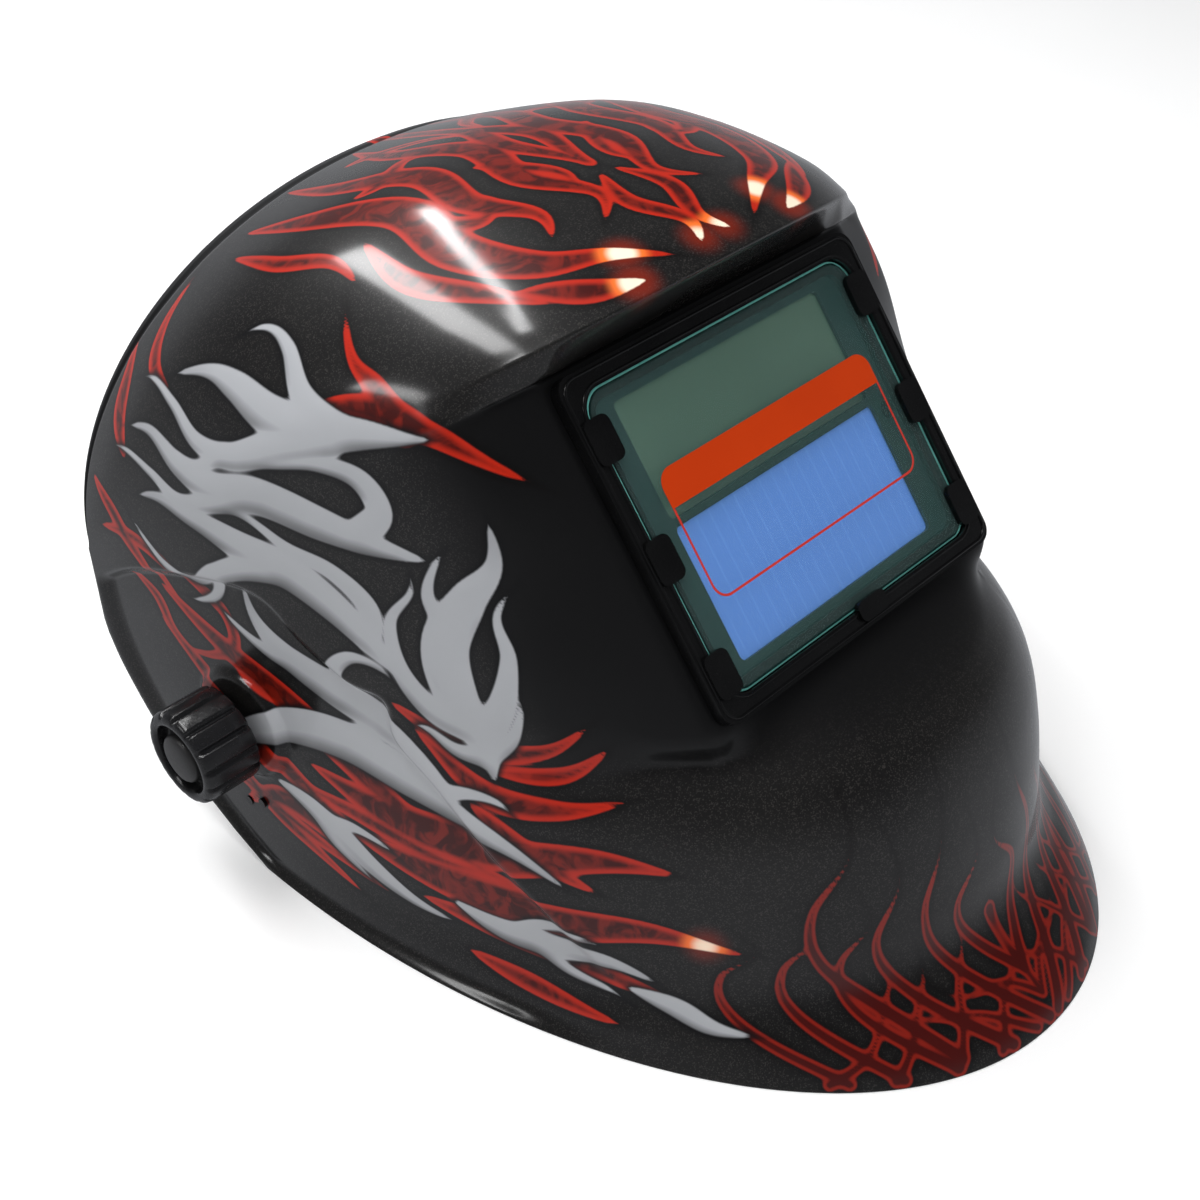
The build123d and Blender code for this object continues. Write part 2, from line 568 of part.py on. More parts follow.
with BuildPart() as ratchet_housing:
    with BuildSketch(Plane.XZ.offset(-RATCHET_Y)):
        with Locations((0, PIVOT_Z)):
            RectangleRounded(HOUSING_W, HOUSING_H, HOUSING_RADIUS)
    extrude(amount=-HOUSING_T)
    with BuildSketch(Plane.XZ.offset(-RATCHET_Y - HOUSING_WALL)):
        with Locations((0, PIVOT_Z)):
            RectangleRounded(HOUSING_W - 2 * HOUSING_WALL, HOUSING_H - 2 * HOUSING_WALL, HOUSING_RADIUS - 1)
    extrude(amount=-HOUSING_T, mode=Mode.SUBTRACT)
    with BuildSketch(Plane.XZ.offset(-RATCHET_Y - HOUSING_WALL)):
        with Locations((0, PIVOT_Z)):
            Rectangle(80, BAND_H - 3)
    extrude(amount=-13, mode=Mode.SUBTRACT)
save(ratchet_housing, "ratchet_housing")

with BuildPart() as ratchet_cover:
    with BuildSketch(Plane.XZ.offset(-RATCHET_Y - HOUSING_T)):
        with Locations((0, PIVOT_Z)):
            RectangleRounded(HOUSING_W, HOUSING_H, HOUSING_RADIUS)
            Circle(SHAFT_R + SLIP, mode=Mode.SUBTRACT)
    extrude(amount=-COVER_T)
save(ratchet_cover, "ratchet_cover")

with BuildPart() as ratchet_knob:
    with BuildSketch(Plane.XZ.offset(-RATCHET_Y - HOUSING_T - COVER_T - 0.2)):
        with Locations((0, PIVOT_Z)):
            Circle(RATCHET_KNOB_R)
            with PolarLocations(RATCHET_KNOB_R + 1.2, RATCHET_GRIPS):
                Circle(2.2, mode=Mode.SUBTRACT)
    extrude(amount=-RATCHET_KNOB_T)
    fillet(ratchet_knob.faces().sort_by(Axis.Y)[-1].edges(), 0.8)
    with BuildSketch(Plane.XZ.offset(-RATCHET_Y - HOUSING_T + 1)):
        with Locations((0, PIVOT_Z)):
            Circle(SHAFT_R)
    extrude(amount=-4)
save(ratchet_knob, "ratchet_knob")

with BuildPart() as ratchet_pinion:
    with BuildSketch(Plane.XZ.offset(-RATCHET_Y - 4)):
        with Locations((0, PIVOT_Z)):
            Circle(PINION_ROOT_R)
            with PolarLocations(PINION_ROOT_R + 0.8, PINION_TEETH):
                Rectangle(2.2, 1.5)
    extrude(amount=-PINION_T)
save(ratchet_pinion, "ratchet_pinion")

with BuildPart() as rear_pad:
    with BuildSketch(Plane.XZ.offset(-RATCHET_Y + 0.3)):
        with Locations((0, PIVOT_Z)):
            RectangleRounded(PAD_W, PAD_H, PAD_T)
    extrude(amount=PAD_T)
save(rear_pad, "rear_pad")

# ---------------------------------------------------------------- pivots
ARM_X, ARM_T, ARM_W, ARM_EYE_R = 111.8, 2.4, 18.0, 15.0
ARM_RIVETED = FRONT_RX + 0.05       # where the arm lies on the front band
SQUARE, SQUARE_CLEAR = 9.0, 0.2
HEAD_R, HEAD_T, HEAD_FILLET = 10.0, 3.35, 2.4
WASHER_R, WASHER_T = 12.5, 1.0
STOP_X = 115.4
PEG_LENGTH = 4.6
KNOB_BASE = BOSS_OUT + 0.1
KNOB_GRIPS, GRIP_R, DISH_R, DISH_DEPTH = 12, 2.0, 10.5, 2.6
CAP_R, CAP_T, CAP_FILLET = 7.6, 3.4, 1.8


def pivot_stack(name):
    """The pieces on one pivot, from the arm on the headband to the knob outside the shell."""
    side = SIDES[name]

    with BuildPart() as arm:
        with BuildSketch(Plane.XY.offset(PIVOT_Z - ARM_W / 2)):
            with BuildLine():
                Polyline(
                    (side * (ARM_X + ARM_T), PIVOT_Y - 4),
                    (side * (ARM_X + ARM_T), PIVOT_Y + 20),
                    (side * (ARM_RIVETED + ARM_T), PIVOT_Y + 38),
                    (side * (ARM_RIVETED + ARM_T), PIVOT_Y + 58),
                    (side * ARM_RIVETED, PIVOT_Y + 58),
                    (side * ARM_RIVETED, PIVOT_Y + 36.5),
                    (side * ARM_X, PIVOT_Y + 18.5),
                    (side * ARM_X, PIVOT_Y - 4),
                    close=True,
                )
            make_face()
        extrude(amount=ARM_W)
        with BuildSketch(side_plane(side, ARM_X)):
            Circle(ARM_EYE_R)
        extrude(amount=ARM_T)
        with BuildSketch(side_plane(side, ARM_X - 1)):
            Rectangle(SQUARE + SQUARE_CLEAR, SQUARE + SQUARE_CLEAR)
        extrude(amount=ARM_T + 2, mode=Mode.SUBTRACT)
    save(arm, f"pivot_arm_{name}")

    with BuildPart() as bolt:
        with BuildSketch(side_plane(side, ARM_X - SLIP - HEAD_T)):
            Circle(HEAD_R)
        extrude(amount=HEAD_T)
        fillet(bolt.faces().sort_by(Axis.X)[0 if side > 0 else -1].edges(), HEAD_FILLET)
        with BuildSketch(side_plane(side, ARM_X - 0.1)):
            Rectangle(SQUARE, SQUARE)
        extrude(amount=ARM_T + 0.12)
        with BuildSketch(side_plane(side, ARM_X + ARM_T + 0.02)):
            Circle(BOLT_R)
        extrude(amount=KNOB_END - 5 - ARM_X - ARM_T)
    save(bolt, f"pivot_bolt_{name}")

    with BuildPart() as washer:
        with BuildSketch(side_plane(side, ARM_X + ARM_T + SLIP)):
            Circle(WASHER_R)
            Circle(BORE_R, mode=Mode.SUBTRACT)
        extrude(amount=WASHER_T)
    save(washer, f"friction_washer_{name}")

    with BuildPart() as stop:
        with BuildSketch(side_plane(side, STOP_X)):
            Circle(STOP_R)
            with Locations((side * -3.0, -20.0)):
                RectangleRounded(20.0, 30.0, 5)
            Circle(BORE_R, mode=Mode.SUBTRACT)
        extrude(amount=BOSS_IN - STOP_X - SLIP)
        with BuildSketch(side_plane(side, STOP_X + 1)):
            with Locations(*[(side * (y - PIVOT_Y), z - PIVOT_Z) for y, z in PEGS]):
                Circle(PEG_R)
        extrude(amount=PEG_LENGTH)
    save(stop, f"stop_plate_{name}")

    with BuildPart() as knob:
        with BuildSketch(side_plane(side, KNOB_BASE)):
            Circle(KNOB_R)
            with PolarLocations(KNOB_R + 0.9, KNOB_GRIPS):
                Circle(GRIP_R, mode=Mode.SUBTRACT)
        extrude(amount=KNOB_END - KNOB_BASE)
        fillet(knob.faces().sort_by(Axis.X)[-1 if side > 0 else 0].edges(), 0.9)
        with BuildSketch(side_plane(side, KNOB_BASE - 1)):
            Circle(BORE_R)
        extrude(amount=KNOB_END - 4.5 - KNOB_BASE + 1, mode=Mode.SUBTRACT)
        with BuildSketch(side_plane(side, KNOB_END)):
            Circle(DISH_R)
        extrude(amount=-DISH_DEPTH, mode=Mode.SUBTRACT)
    save(knob, f"tension_knob_{name}")

    with BuildPart() as cap:
        with BuildSketch(side_plane(side, KNOB_END - DISH_DEPTH + SLIP)):
            Circle(CAP_R)
        extrude(amount=CAP_T)
        fillet(cap.faces().sort_by(Axis.X)[-1 if side > 0 else 0].edges(), CAP_FILLET)
    save(cap, f"knob_cap_{name}")


for side_name in SIDES:
    pivot_stack(side_name)

# Rivets: through the arm or the strap foot and the front band on each side
RIVET_R, RIVET_T = 3.5, 1.4
RIVET_SITES = (
    (ARM_RIVETED + ARM_T + SLIP, PIVOT_Y + 52, PIVOT_Z),
    (STRAP_RX + SLIP, STRAP_Y, STRAP_FOOT_Z - STRAP_FOOT_H / 2),
)
with BuildPart() as rivets:
    for sign in SIDES.values():
        for rivet_x, rivet_y, rivet_z in RIVET_SITES:
            with BuildSketch(
                Plane(origin=(sign * rivet_x, rivet_y, rivet_z), x_dir=(0, sign, 0), z_dir=(sign, 0, 0))
            ):
                Circle(RIVET_R)
            extrude(amount=RIVET_T, taper=25)
save(rivets, "band_rivets")
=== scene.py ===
"""Looks of the welding helmet: flake-painted shell with flame artwork, window assembly and headgear."""
import math
from typing import NamedTuple

import bpy
import numpy as np
from mathutils import Matrix, Vector
from mathutils.bvhtree import BVHTree


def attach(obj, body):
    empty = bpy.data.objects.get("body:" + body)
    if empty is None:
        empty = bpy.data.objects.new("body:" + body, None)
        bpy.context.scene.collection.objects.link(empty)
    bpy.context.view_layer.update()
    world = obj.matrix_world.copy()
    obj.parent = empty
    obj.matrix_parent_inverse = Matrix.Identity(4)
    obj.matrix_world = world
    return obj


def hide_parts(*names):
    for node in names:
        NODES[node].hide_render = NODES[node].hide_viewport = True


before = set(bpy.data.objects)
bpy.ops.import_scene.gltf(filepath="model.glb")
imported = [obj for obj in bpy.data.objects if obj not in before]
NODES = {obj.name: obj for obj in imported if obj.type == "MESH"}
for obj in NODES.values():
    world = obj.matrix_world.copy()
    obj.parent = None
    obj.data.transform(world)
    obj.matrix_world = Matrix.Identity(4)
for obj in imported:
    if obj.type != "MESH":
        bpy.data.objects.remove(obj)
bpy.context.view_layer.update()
MM = 0.001
SHARP_ANGLE = 40.0              # edges sharper than this are softened, degrees


def link_object(name, data):
    """A new object in the scene."""
    made = bpy.data.objects.new(name, data)
    bpy.context.scene.collection.objects.link(made)
    return made


# ---------------- camera, lamps and surroundings, in metres
CAMERA_AT = Vector((-0.32848, -0.30377, 0.41543))
CAMERA_WAY = (-46.088, 38.362)      # azimuth and elevation, degrees
FOCAL_LENGTH, SENSOR_WIDTH, CLIP_START = 52.5, 36.0, 0.01
LIT_POINT = Vector((0, 0, 0.1))
FILL_LAMPS = (                      # name, azimuth, elevation, distance, width, height, power
    ("top", 10, 80, 1.5, 1.0, 1.0, 9),
    ("front", 10, 30, 1.7, 1.0, 0.8, 5),
    ("rear", 170, 35, 1.7, 1.2, 0.8, 6),
    ("right", -60, 40, 1.7, 1.0, 0.8, 5),
)
SKY_COLOUR = (0.93, 0.95, 1.0, 1)
SKY_SEEN = 0.9                      # strength of the surroundings, as the camera sees them
SKY_FADE = {"From Min": -0.35, "From Max": 0.6, "To Min": 0.4, "To Max": 0.07}     # as a light, by height


def direction(azimuth, elevation):
    """Unit vector from the helmet towards an azimuth and elevation in degrees."""
    azimuth, elevation = math.radians(azimuth), math.radians(elevation)
    flat = math.cos(elevation)
    return Vector((math.sin(azimuth) * flat, -math.cos(azimuth) * flat, math.sin(elevation)))


def photograph_camera():
    """The camera, at the photograph's viewing angle."""
    data = bpy.data.cameras.new("camera")
    data.lens = FOCAL_LENGTH
    data.sensor_width = SENSOR_WIDTH
    data.clip_start = CLIP_START
    made = link_object("camera", data)
    made.location = CAMERA_AT
    made.rotation_mode = "QUATERNION"
    made.rotation_quaternion = (-direction(*CAMERA_WAY)).to_track_quat("-Z", "Y")
    return made


def lamp(name, middle, across, width, height, power):
    """A soft rectangular lamp that faces the helmet, with its width along across."""
    data = bpy.data.lights.new(name, "AREA")
    data.shape = "RECTANGLE"
    data.size, data.size_y = width, height
    data.energy = power
    made = link_object(name, data)
    back = (middle - LIT_POINT).normalized()
    along = (across - back * across.dot(back)).normalized()
    made.location = middle
    made.rotation_mode = "QUATERNION"
    made.rotation_quaternion = Matrix((along, back.cross(along), back)).transposed().to_quaternion()
    return made


def level_lamp(name, azimuth, elevation, distance, width, height, power):
    """A lamp in a direction, level along its width."""
    turn = math.radians(azimuth)
    across = Vector((math.cos(turn), math.sin(turn), 0))
    return lamp(name, LIT_POINT + direction(azimuth, elevation) * distance, across, width, height, power)


def strip_lamp(name, start, end, distance, width, power):
    """A long narrow lamp between two directions, each an azimuth and an elevation."""
    a, b = (LIT_POINT + direction(*way) * distance for way in (start, end))
    return lamp(name, (a + b) / 2, b - a, (b - a).length, width, power)


def studio_world():
    """Surroundings that are pale to the camera; as a light they get darker from the table upwards."""
    world = bpy.data.worlds.new("studio")
    world.use_nodes = True
    nodes, link = world.node_tree.nodes, world.node_tree.links.new
    background = nodes["Background"]
    background.inputs["Color"].default_value = SKY_COLOUR
    strength = nodes.new("ShaderNodeMapRange")
    strength.inputs["To Max"].default_value = SKY_SEEN
    link(nodes.new("ShaderNodeLightPath").outputs["Is Camera Ray"], strength.inputs["Value"])
    way = nodes.new("ShaderNodeSeparateXYZ")
    link(nodes.new("ShaderNodeTexCoord").outputs["Generated"], way.inputs[0])
    fade = nodes.new("ShaderNodeMapRange")
    fade.interpolation_type = "SMOOTHSTEP"
    for socket_name, level in SKY_FADE.items():
        fade.inputs[socket_name].default_value = level
    link(way.outputs["Z"], fade.inputs["Value"])
    link(fade.outputs["Result"], strength.inputs["To Min"])
    link(strength.outputs["Result"], background.inputs["Strength"])
    return world


bpy.context.scene.camera = photograph_camera()
strip_lamp("streak_wide", (178, 40), (-92, 66), 1.2, 0.13, 6.5)
strip_lamp("streak_thin", (158, 38), (-104, 76), 1.2, 0.045, 3.8)
level_lamp("flank_panel", -112, 38, 1.3, 0.5, 0.10, 1.6)
for fill in FILL_LAMPS:
    level_lamp(*fill).visible_glossy = False
bpy.context.scene.view_settings.view_transform = "Standard"
bpy.context.scene.world = studio_world()


# ---------------- material helpers
class Shader:
    """A small builder for one procedural material."""

    def __init__(self, name):
        self.material = bpy.data.materials.new(name)
        self.material.use_nodes = True
        self.tree = self.material.node_tree
        self.bsdf = self.tree.nodes["Principled BSDF"]

    def put(self, socket, value):
        """Links a socket, or sets its value."""
        if isinstance(value, bpy.types.NodeSocket):
            self.tree.links.new(value, socket)
        else:
            socket.default_value = value

    def node(self, kind, settings=None, **inputs):
        made = self.tree.nodes.new(kind)
        for key, value in (settings or {}).items():
            setattr(made, key, value)
        for key, value in inputs.items():
            self.put(made.inputs[key.replace("_", " ")], value)
        return made

    def where(self):
        return self.node("ShaderNodeTexCoord").outputs["Object"]

    def attribute(self, name):
        return self.node("ShaderNodeAttribute", {"attribute_name": name}).outputs["Fac"]

    def math(self, operation, *values):
        made = self.node("ShaderNodeMath", {"operation": operation})
        for socket, value in zip(made.inputs, values):
            self.put(socket, value)
        return made.outputs[0]

    def scaled(self, value, factor):
        return self.math("MULTIPLY", value, factor)

    def step(self, value, start, end, smooth=True):
        """0 on start's side and 1 on end's side, with a ramp between them."""
        low, high = (0.0, 1.0) if start < end else (1.0, 0.0)
        made = self.node("ShaderNodeMapRange", {"interpolation_type": "SMOOTHSTEP" if smooth else "LINEAR"})
        self.put(made.inputs["Value"], value)
        self.put(made.inputs["From Min"], min(start, end))
        self.put(made.inputs["From Max"], max(start, end))
        self.put(made.inputs["To Min"], low)
        self.put(made.inputs["To Max"], high)
        return made.outputs[0]

    def mix(self, factor, first, second):
        made = self.node("ShaderNodeMix", {"data_type": "RGBA"})
        self.put(made.inputs[0], factor)
        for socket, value in ((made.inputs[6], first), (made.inputs[7], second)):
            self.put(socket, value if isinstance(value, bpy.types.NodeSocket) else (*value, 1.0))
        return made.outputs[2]

    def noise(self, scale, detail=3.0, distortion=0.0):
        made = self.node("ShaderNodeTexNoise", None, Scale=scale, Detail=detail, Distortion=distortion)
        self.put(made.inputs["Vector"], self.where())
        return made.outputs["Fac"]

    def cells(self, scale):
        """(distance to the middle, random colour) of small cells."""
        made = self.node("ShaderNodeTexVoronoi", None, Scale=scale)
        self.put(made.inputs["Vector"], self.where())
        return made.outputs["Distance"], made.outputs["Color"]

    def ramp(self, value, *stops):
        made = self.node("ShaderNodeValToRGB")
        self.put(made.inputs["Fac"], value)
        ramp = made.color_ramp
        while len(ramp.elements) < len(stops):
            ramp.elements.new(0.5)
        for element, (position, colour) in zip(ramp.elements, stops):
            element.position = position
            element.color = (*colour, 1.0)
        return made.outputs["Color"]

    def bump(self, height, distance, strength):
        made = self.node("ShaderNodeBump", None, Height=height, Distance=distance, Strength=strength)
        self.put(self.bsdf.inputs["Normal"], made.outputs["Normal"])

    def set(self, **inputs):
        for key, value in inputs.items():
            self.put(self.bsdf.inputs[key.replace("_", " ")], value)


def plastic(name, dark, light, rough, grain=900.0, depth=0.00005, coat=0.0):
    """Moulded plastic: faint mottling, uneven gloss and a fine moulded grain."""
    s = Shader(name)
    cloud = s.noise(45.0, 4.0)
    fine = s.noise(grain, 2.0)
    s.set(Base_Color=s.mix(s.step(cloud, 0.35, 0.7), dark, light))
    s.set(Roughness=s.math("ADD", rough, s.scaled(s.math("SUBTRACT", fine, 0.5), 0.18)))
    if coat:
        s.set(Coat_Weight=coat, Coat_Roughness=0.06, Coat_IOR=1.4, Specular_IOR_Level=0.15)
    s.bump(fine, depth, 0.5)
    return s.material


def mottled(name, scale, detail, first, second, **settings):
    """A material whose colour drifts between two, with its other settings as given."""
    s = Shader(name)
    s.set(Base_Color=s.mix(s.noise(scale, detail), first, second), **settings)
    return s.material


# ---------------- mesh helpers, in mm
def paint_node(name, material):
    """Gives a carried-over CAD node its material."""
    mesh = NODES[name].data
    mesh.materials.clear()
    mesh.materials.append(material)


def soften(name, width):
    """Rounds a CAD node's sharp edges."""
    bevel = NODES[name].modifiers.new("edge", "BEVEL")
    bevel.width = width * MM
    bevel.segments = 2
    bevel.limit_method = "ANGLE"
    bevel.angle_limit = math.radians(SHARP_ANGLE)
    bevel.harden_normals = False


def mesh_object(name, points, faces, material, smooth=True):
    """A mesh from points in mm."""
    mesh = bpy.data.meshes.new(name)
    mesh.from_pydata([tuple(p) for p in np.asarray(points, float) * MM], [], [tuple(f) for f in faces])
    mesh.materials.append(material)
    if smooth:
        mesh.shade_smooth()
    return link_object(name, mesh)


def grid_quads(index):
    """The quads between neighbours in a grid of vertex numbers."""
    return np.stack([index[:-1, :-1], index[:-1, 1:], index[1:, 1:], index[1:, :-1]], -1)


def ring_quads(rings, around):
    """The quads that join closed rings of vertices, one after the other."""
    index = np.arange(rings * around).reshape(rings, around)
    return grid_quads(np.hstack([index, index[:, :1]])).reshape(-1, 4)


def ring_ends(rings, around):
    """The faces that close the first and the last ring."""
    return [tuple(range(around))[::-1], tuple(range((rings - 1) * around, rings * around))]


def catmull_rom(a, b, c, d, t):
    """Points of the curve's run from b to c."""
    return ((-t + 2 * t**2 - t**3) * a + (2 - 5 * t**2 + 3 * t**3) * b
            + (t + 4 * t**2 - 3 * t**3) * c + (-(t**2) + t**3) * d) / 2


def curve_through(points, steps):
    """A curve through a few points, which runs straight at its ends."""
    p = np.array(points, float)
    p = np.vstack([2 * p[0] - p[1], p, 2 * p[-1] - p[-2]])
    t = np.linspace(0, 1, steps, endpoint=False)[:, None]
    runs = [catmull_rom(*four, t) for four in zip(p, p[1:], p[2:], p[3:])]
    return np.vstack([*runs, p[-2:-1]])


def soft_step(value, start, end):
    """0 before start and 1 after end, with a smooth ramp between them."""
    t = np.clip((value - start) / (end - start), 0, 1)
    return t * t * (3 - 2 * t)


def near(index, centre, half_width):
    """1 at centre, falling smoothly to 0 at half_width away."""
    return soft_step(1 - np.abs(index - centre) / half_width, 0, 1)


def even(line, count):
    """A polyline's points spaced evenly along its length."""
    run = np.concatenate([[0], np.cumsum(np.linalg.norm(np.diff(line, axis=0), axis=1))])
    at = np.linspace(0, run[-1], count + 1)
    return np.stack([np.interp(at, run, line[:, k]) for k in range(line.shape[1])], 1)


# ---------------- shell shape, mm
SIDE, WALL = 124.0, 2.5
REAR_Y = 114.0                  # rear rim beside the window
LEAN = math.radians(39.08)
WINDOW_AT = np.array([0.0, -58.0, 140.0])
WINDOW_UP = np.array([0.0, math.sin(LEAN), math.cos(LEAN)])
WINDOW_OUT = np.array([0.0, -math.cos(LEAN), math.sin(LEAN)])
FACE_LOW, FACE_HIGH, FACE_EDGE_X = -54.0, 53.0, 63.0
OPEN_X, OPEN_UP = 57.0, 47.0


class Row(NamedTuple):
    """A flat arch of the shell, from ear to ear: its middle in front and its ends on the rear rim."""

    front_y: float
    front_z: float
    rear_y: float
    rear_z: float
    power: float
    inset: float                # wall in front
    knee_x: float = 84.0        # temple crease
    knee: float = 0.0           # how far forward the crease lies, as a share; 0 for a plain curve
    edge_x: float = 60.0        # front corner


def window_row(up, rear_z, power, inset, knee_x, knee):
    """An arch through the window's face at a height."""
    at = WINDOW_AT + WINDOW_UP * up
    return Row(at[1], at[2], REAR_Y, rear_z, power, inset, knee_x, knee, FACE_EDGE_X)


CHIN_ROWS = [
    Row(-174.0, 0.0, 41.0, 0.0, 2.05, 3.2),
    Row(-170.5, 4.5, 47.0, 2.5, 2.05, 3.4),
    Row(-162.0, 11.0, 56.0, 6.0, 2.1, 3.6),
    Row(-152.0, 18.0, 64.0, 10.0, 2.12, 3.6),
    Row(-146.0, 26.0, 72.0, 14.0, 2.15, 3.2),
    Row(-143.0, 40.0, 82.0, 20.0, 2.2, 2.8),
    Row(-139.0, 58.0, 93.0, 28.0, 2.25, 2.8),
    Row(-134.0, 74.0, 102.0, 38.0, 2.25, 3.0),
    Row(-127.0, 86.0, 109.0, 48.0, 2.15, 4.0),
    Row(-116.0, 94.0, 113.0, 57.0, 2.05, 6.5),
]
WINDOW_ROWS = [
    window_row(FACE_LOW, 62.0, 2.1, 3.0, 84.0, 0.86),
    window_row(-29.0, 69.0, 2.1, 3.0, 87.0, 0.865),
    window_row(0.0, 75.0, 2.1, 3.0, 86.0, 0.89),
    window_row(30.0, 79.0, 2.2, 3.0, 84.0, 0.94),
    window_row(FACE_HIGH, 81.0, 2.3, 3.2, 85.0, 0.935),
]
BEVEL_ROW = Row(-26.5, 182.7, REAR_Y, 82.0, 2.3, 4.0, 86.0, 0.925, 62.0)
CROWN_ROWS = [
    Row(-38.0, 200.0, REAR_Y, 84.0, 2.47, 6.5, 86.0),
    Row(-18.0, 205.5, REAR_Y, 86.0, 2.5, 3.6, 86.0),
    Row(22.0, 208.0, REAR_Y, 88.0, 2.45, 3.2, 86.0),
    Row(62.0, 203.5, REAR_Y, 90.0, 2.35, 2.9, 86.0),
    Row(113.0, 185.5, 113.0, 92.0, 2.1, 2.6, 86.0),
]
# Points along half an arch, and points of its curves before they are spaced evenly
CHEEK_STEPS, FLANK_STEPS, CORNER_STEPS, FRONT_STEPS = 190, 34, 5, 84
CURVE_POINTS, FRONT_POINTS = 200, 400
# Arches for each given one, then arches beside and over the opening, then those that join the parts
CHIN_STEPS, FACE_STEPS, CROWN_STEPS = 10, 60, 34
MARGIN_STEPS, OPENING_STEPS = 6, 84
JAW_STEPS, BEVEL_STEPS, BROW_STEPS = 4, 6, 16


def smooth_rows(rows, steps):
    """Arches on a curve through the given ones."""
    rows = np.array(rows)
    ends = np.vstack([rows[:1], rows, rows[-1:]])
    t = (np.arange(steps) / steps)[:, None]
    runs = [catmull_rom(*four, t) for four in zip(ends, ends[1:], ends[2:], ends[3:])]
    return np.vstack([*runs, rows[-1:]])


def arch(row, inner):
    """Points of a whole arch from the wearer's right rim to the left one."""
    reach = math.hypot(row.front_y - row.rear_y, row.front_z - row.rear_z)
    wall = WALL if inner else 0.0
    half = SIDE - wall
    depth = reach - (row.inset if inner else 0.0)
    knee_x, edge_x = row.knee_x - wall, row.edge_x - wall * 0.6
    round_off = 2 / row.power

    def curve(start, end, length):
        angle = np.linspace(start, end, CURVE_POINTS)
        return np.stack([half * np.cos(angle) ** round_off, length * np.sin(angle) ** round_off], 1)

    knee_angle = math.acos((knee_x / half) ** (row.power / 2))
    edge_angle = math.acos((edge_x / half) ** (row.power / 2))
    if row.knee > 0:
        knee_r = reach * row.knee - wall
        cheek = curve(0, knee_angle, knee_r / math.sin(knee_angle) ** round_off)
        flank = np.array([cheek[-1], (edge_x, depth)])
        corner = np.array([(edge_x, depth), (OPEN_X, depth)])
        front = np.array([(OPEN_X, depth), (0.0, depth)])
    else:
        cheek = curve(0, knee_angle, depth)
        flank = curve(knee_angle, edge_angle, depth)
        rest = curve(edge_angle, math.pi / 2, depth)
        rest[-1] = (0.0, depth)
        rest = even(rest, FRONT_POINTS)
        cut = int(FRONT_POINTS * (CORNER_STEPS / (CORNER_STEPS + FRONT_STEPS)))
        corner, front = rest[: cut + 1], rest[cut:]
    side = np.vstack([
        even(cheek, CHEEK_STEPS), even(flank, FLANK_STEPS)[1:],
        even(corner, CORNER_STEPS)[1:], even(front, FRONT_STEPS)[1:],
    ])
    flat = np.vstack([side * (-1, 1), side[-2::-1]])
    along = np.array([row.front_y - row.rear_y, row.front_z - row.rear_z]) / reach
    return np.stack([flat[:, 0], row.rear_y + along[0] * flat[:, 1], row.rear_z + along[1] * flat[:, 1]], 1)


def between(first, last, count):
    """Arches spaced evenly between two, without either."""
    return [first + (last - first) * k / count for k in range(1, count)]


def shell_grid(inner):
    """The shell's arches, from the chin up to the crown's rear edge, and the number of the face's first."""
    chin = [arch(Row(*r), inner) for r in smooth_rows(CHIN_ROWS, CHIN_STEPS)]
    fine = smooth_rows(WINDOW_ROWS, FACE_STEPS)
    up = (fine[:, :2] - WINDOW_AT[1:]) @ WINDOW_UP[1:]
    marks = np.concatenate([
        np.linspace(FACE_LOW, -OPEN_UP, MARGIN_STEPS + 1),
        np.linspace(-OPEN_UP, OPEN_UP, OPENING_STEPS + 1)[1:],
        np.linspace(OPEN_UP, FACE_HIGH, MARGIN_STEPS + 1)[1:],
    ])
    face = [arch(Row(*(np.interp(mark, up, values) for values in fine.T)), inner) for mark in marks]
    bevel = arch(BEVEL_ROW, inner)
    crown = [arch(Row(*r), inner) for r in smooth_rows(CROWN_ROWS, CROWN_STEPS)]
    rows = [*chin, *between(chin[-1], face[0], JAW_STEPS), *face, *between(face[-1], bevel, BEVEL_STEPS),
            bevel, *between(bevel, crown[0], BROW_STEPS), *crown]
    return np.array(rows), len(chin) + JAW_STEPS - 1


outer_grid, face_row = shell_grid(inner=False)
inner_grid = shell_grid(inner=True)[0]
ROW_COUNT, COLUMN_COUNT = outer_grid.shape[:2]
MIDDLE = COLUMN_COUNT // 2
row_index, column_index = np.indices((ROW_COUNT, COLUMN_COUNT))
from_rim = np.minimum(column_index, COLUMN_COUNT - 1 - column_index)
from_rear = ROW_COUNT - 1 - row_index
jaw_row = face_row - 2
bevel_row = face_row + 2 * MARGIN_STEPS + OPENING_STEPS + BEVEL_STEPS
crest_row = bevel_row + BROW_STEPS + 1


def relax(grid, weight, rounds):
    """Rounds the creases of a grid where weight is above 0."""
    for _ in range(rounds):
        mean = grid.copy()
        mean[1:-1] = (grid[:-2] + grid[2:] + 2 * grid[1:-1]) / 4
        mean[:, 1:-1] = (mean[:, :-2] + mean[:, 2:] + 2 * mean[:, 1:-1]) / 4
        grid = grid + (mean - grid) * weight[..., None]
    return grid


def grid_normals(grid):
    """Outward normals of a grid of arches."""
    across = np.gradient(grid, axis=1)
    along = np.gradient(grid, axis=0)
    normal = np.cross(across, along)
    normal /= np.maximum(np.linalg.norm(normal, axis=2, keepdims=True), 1e-9)
    return normal


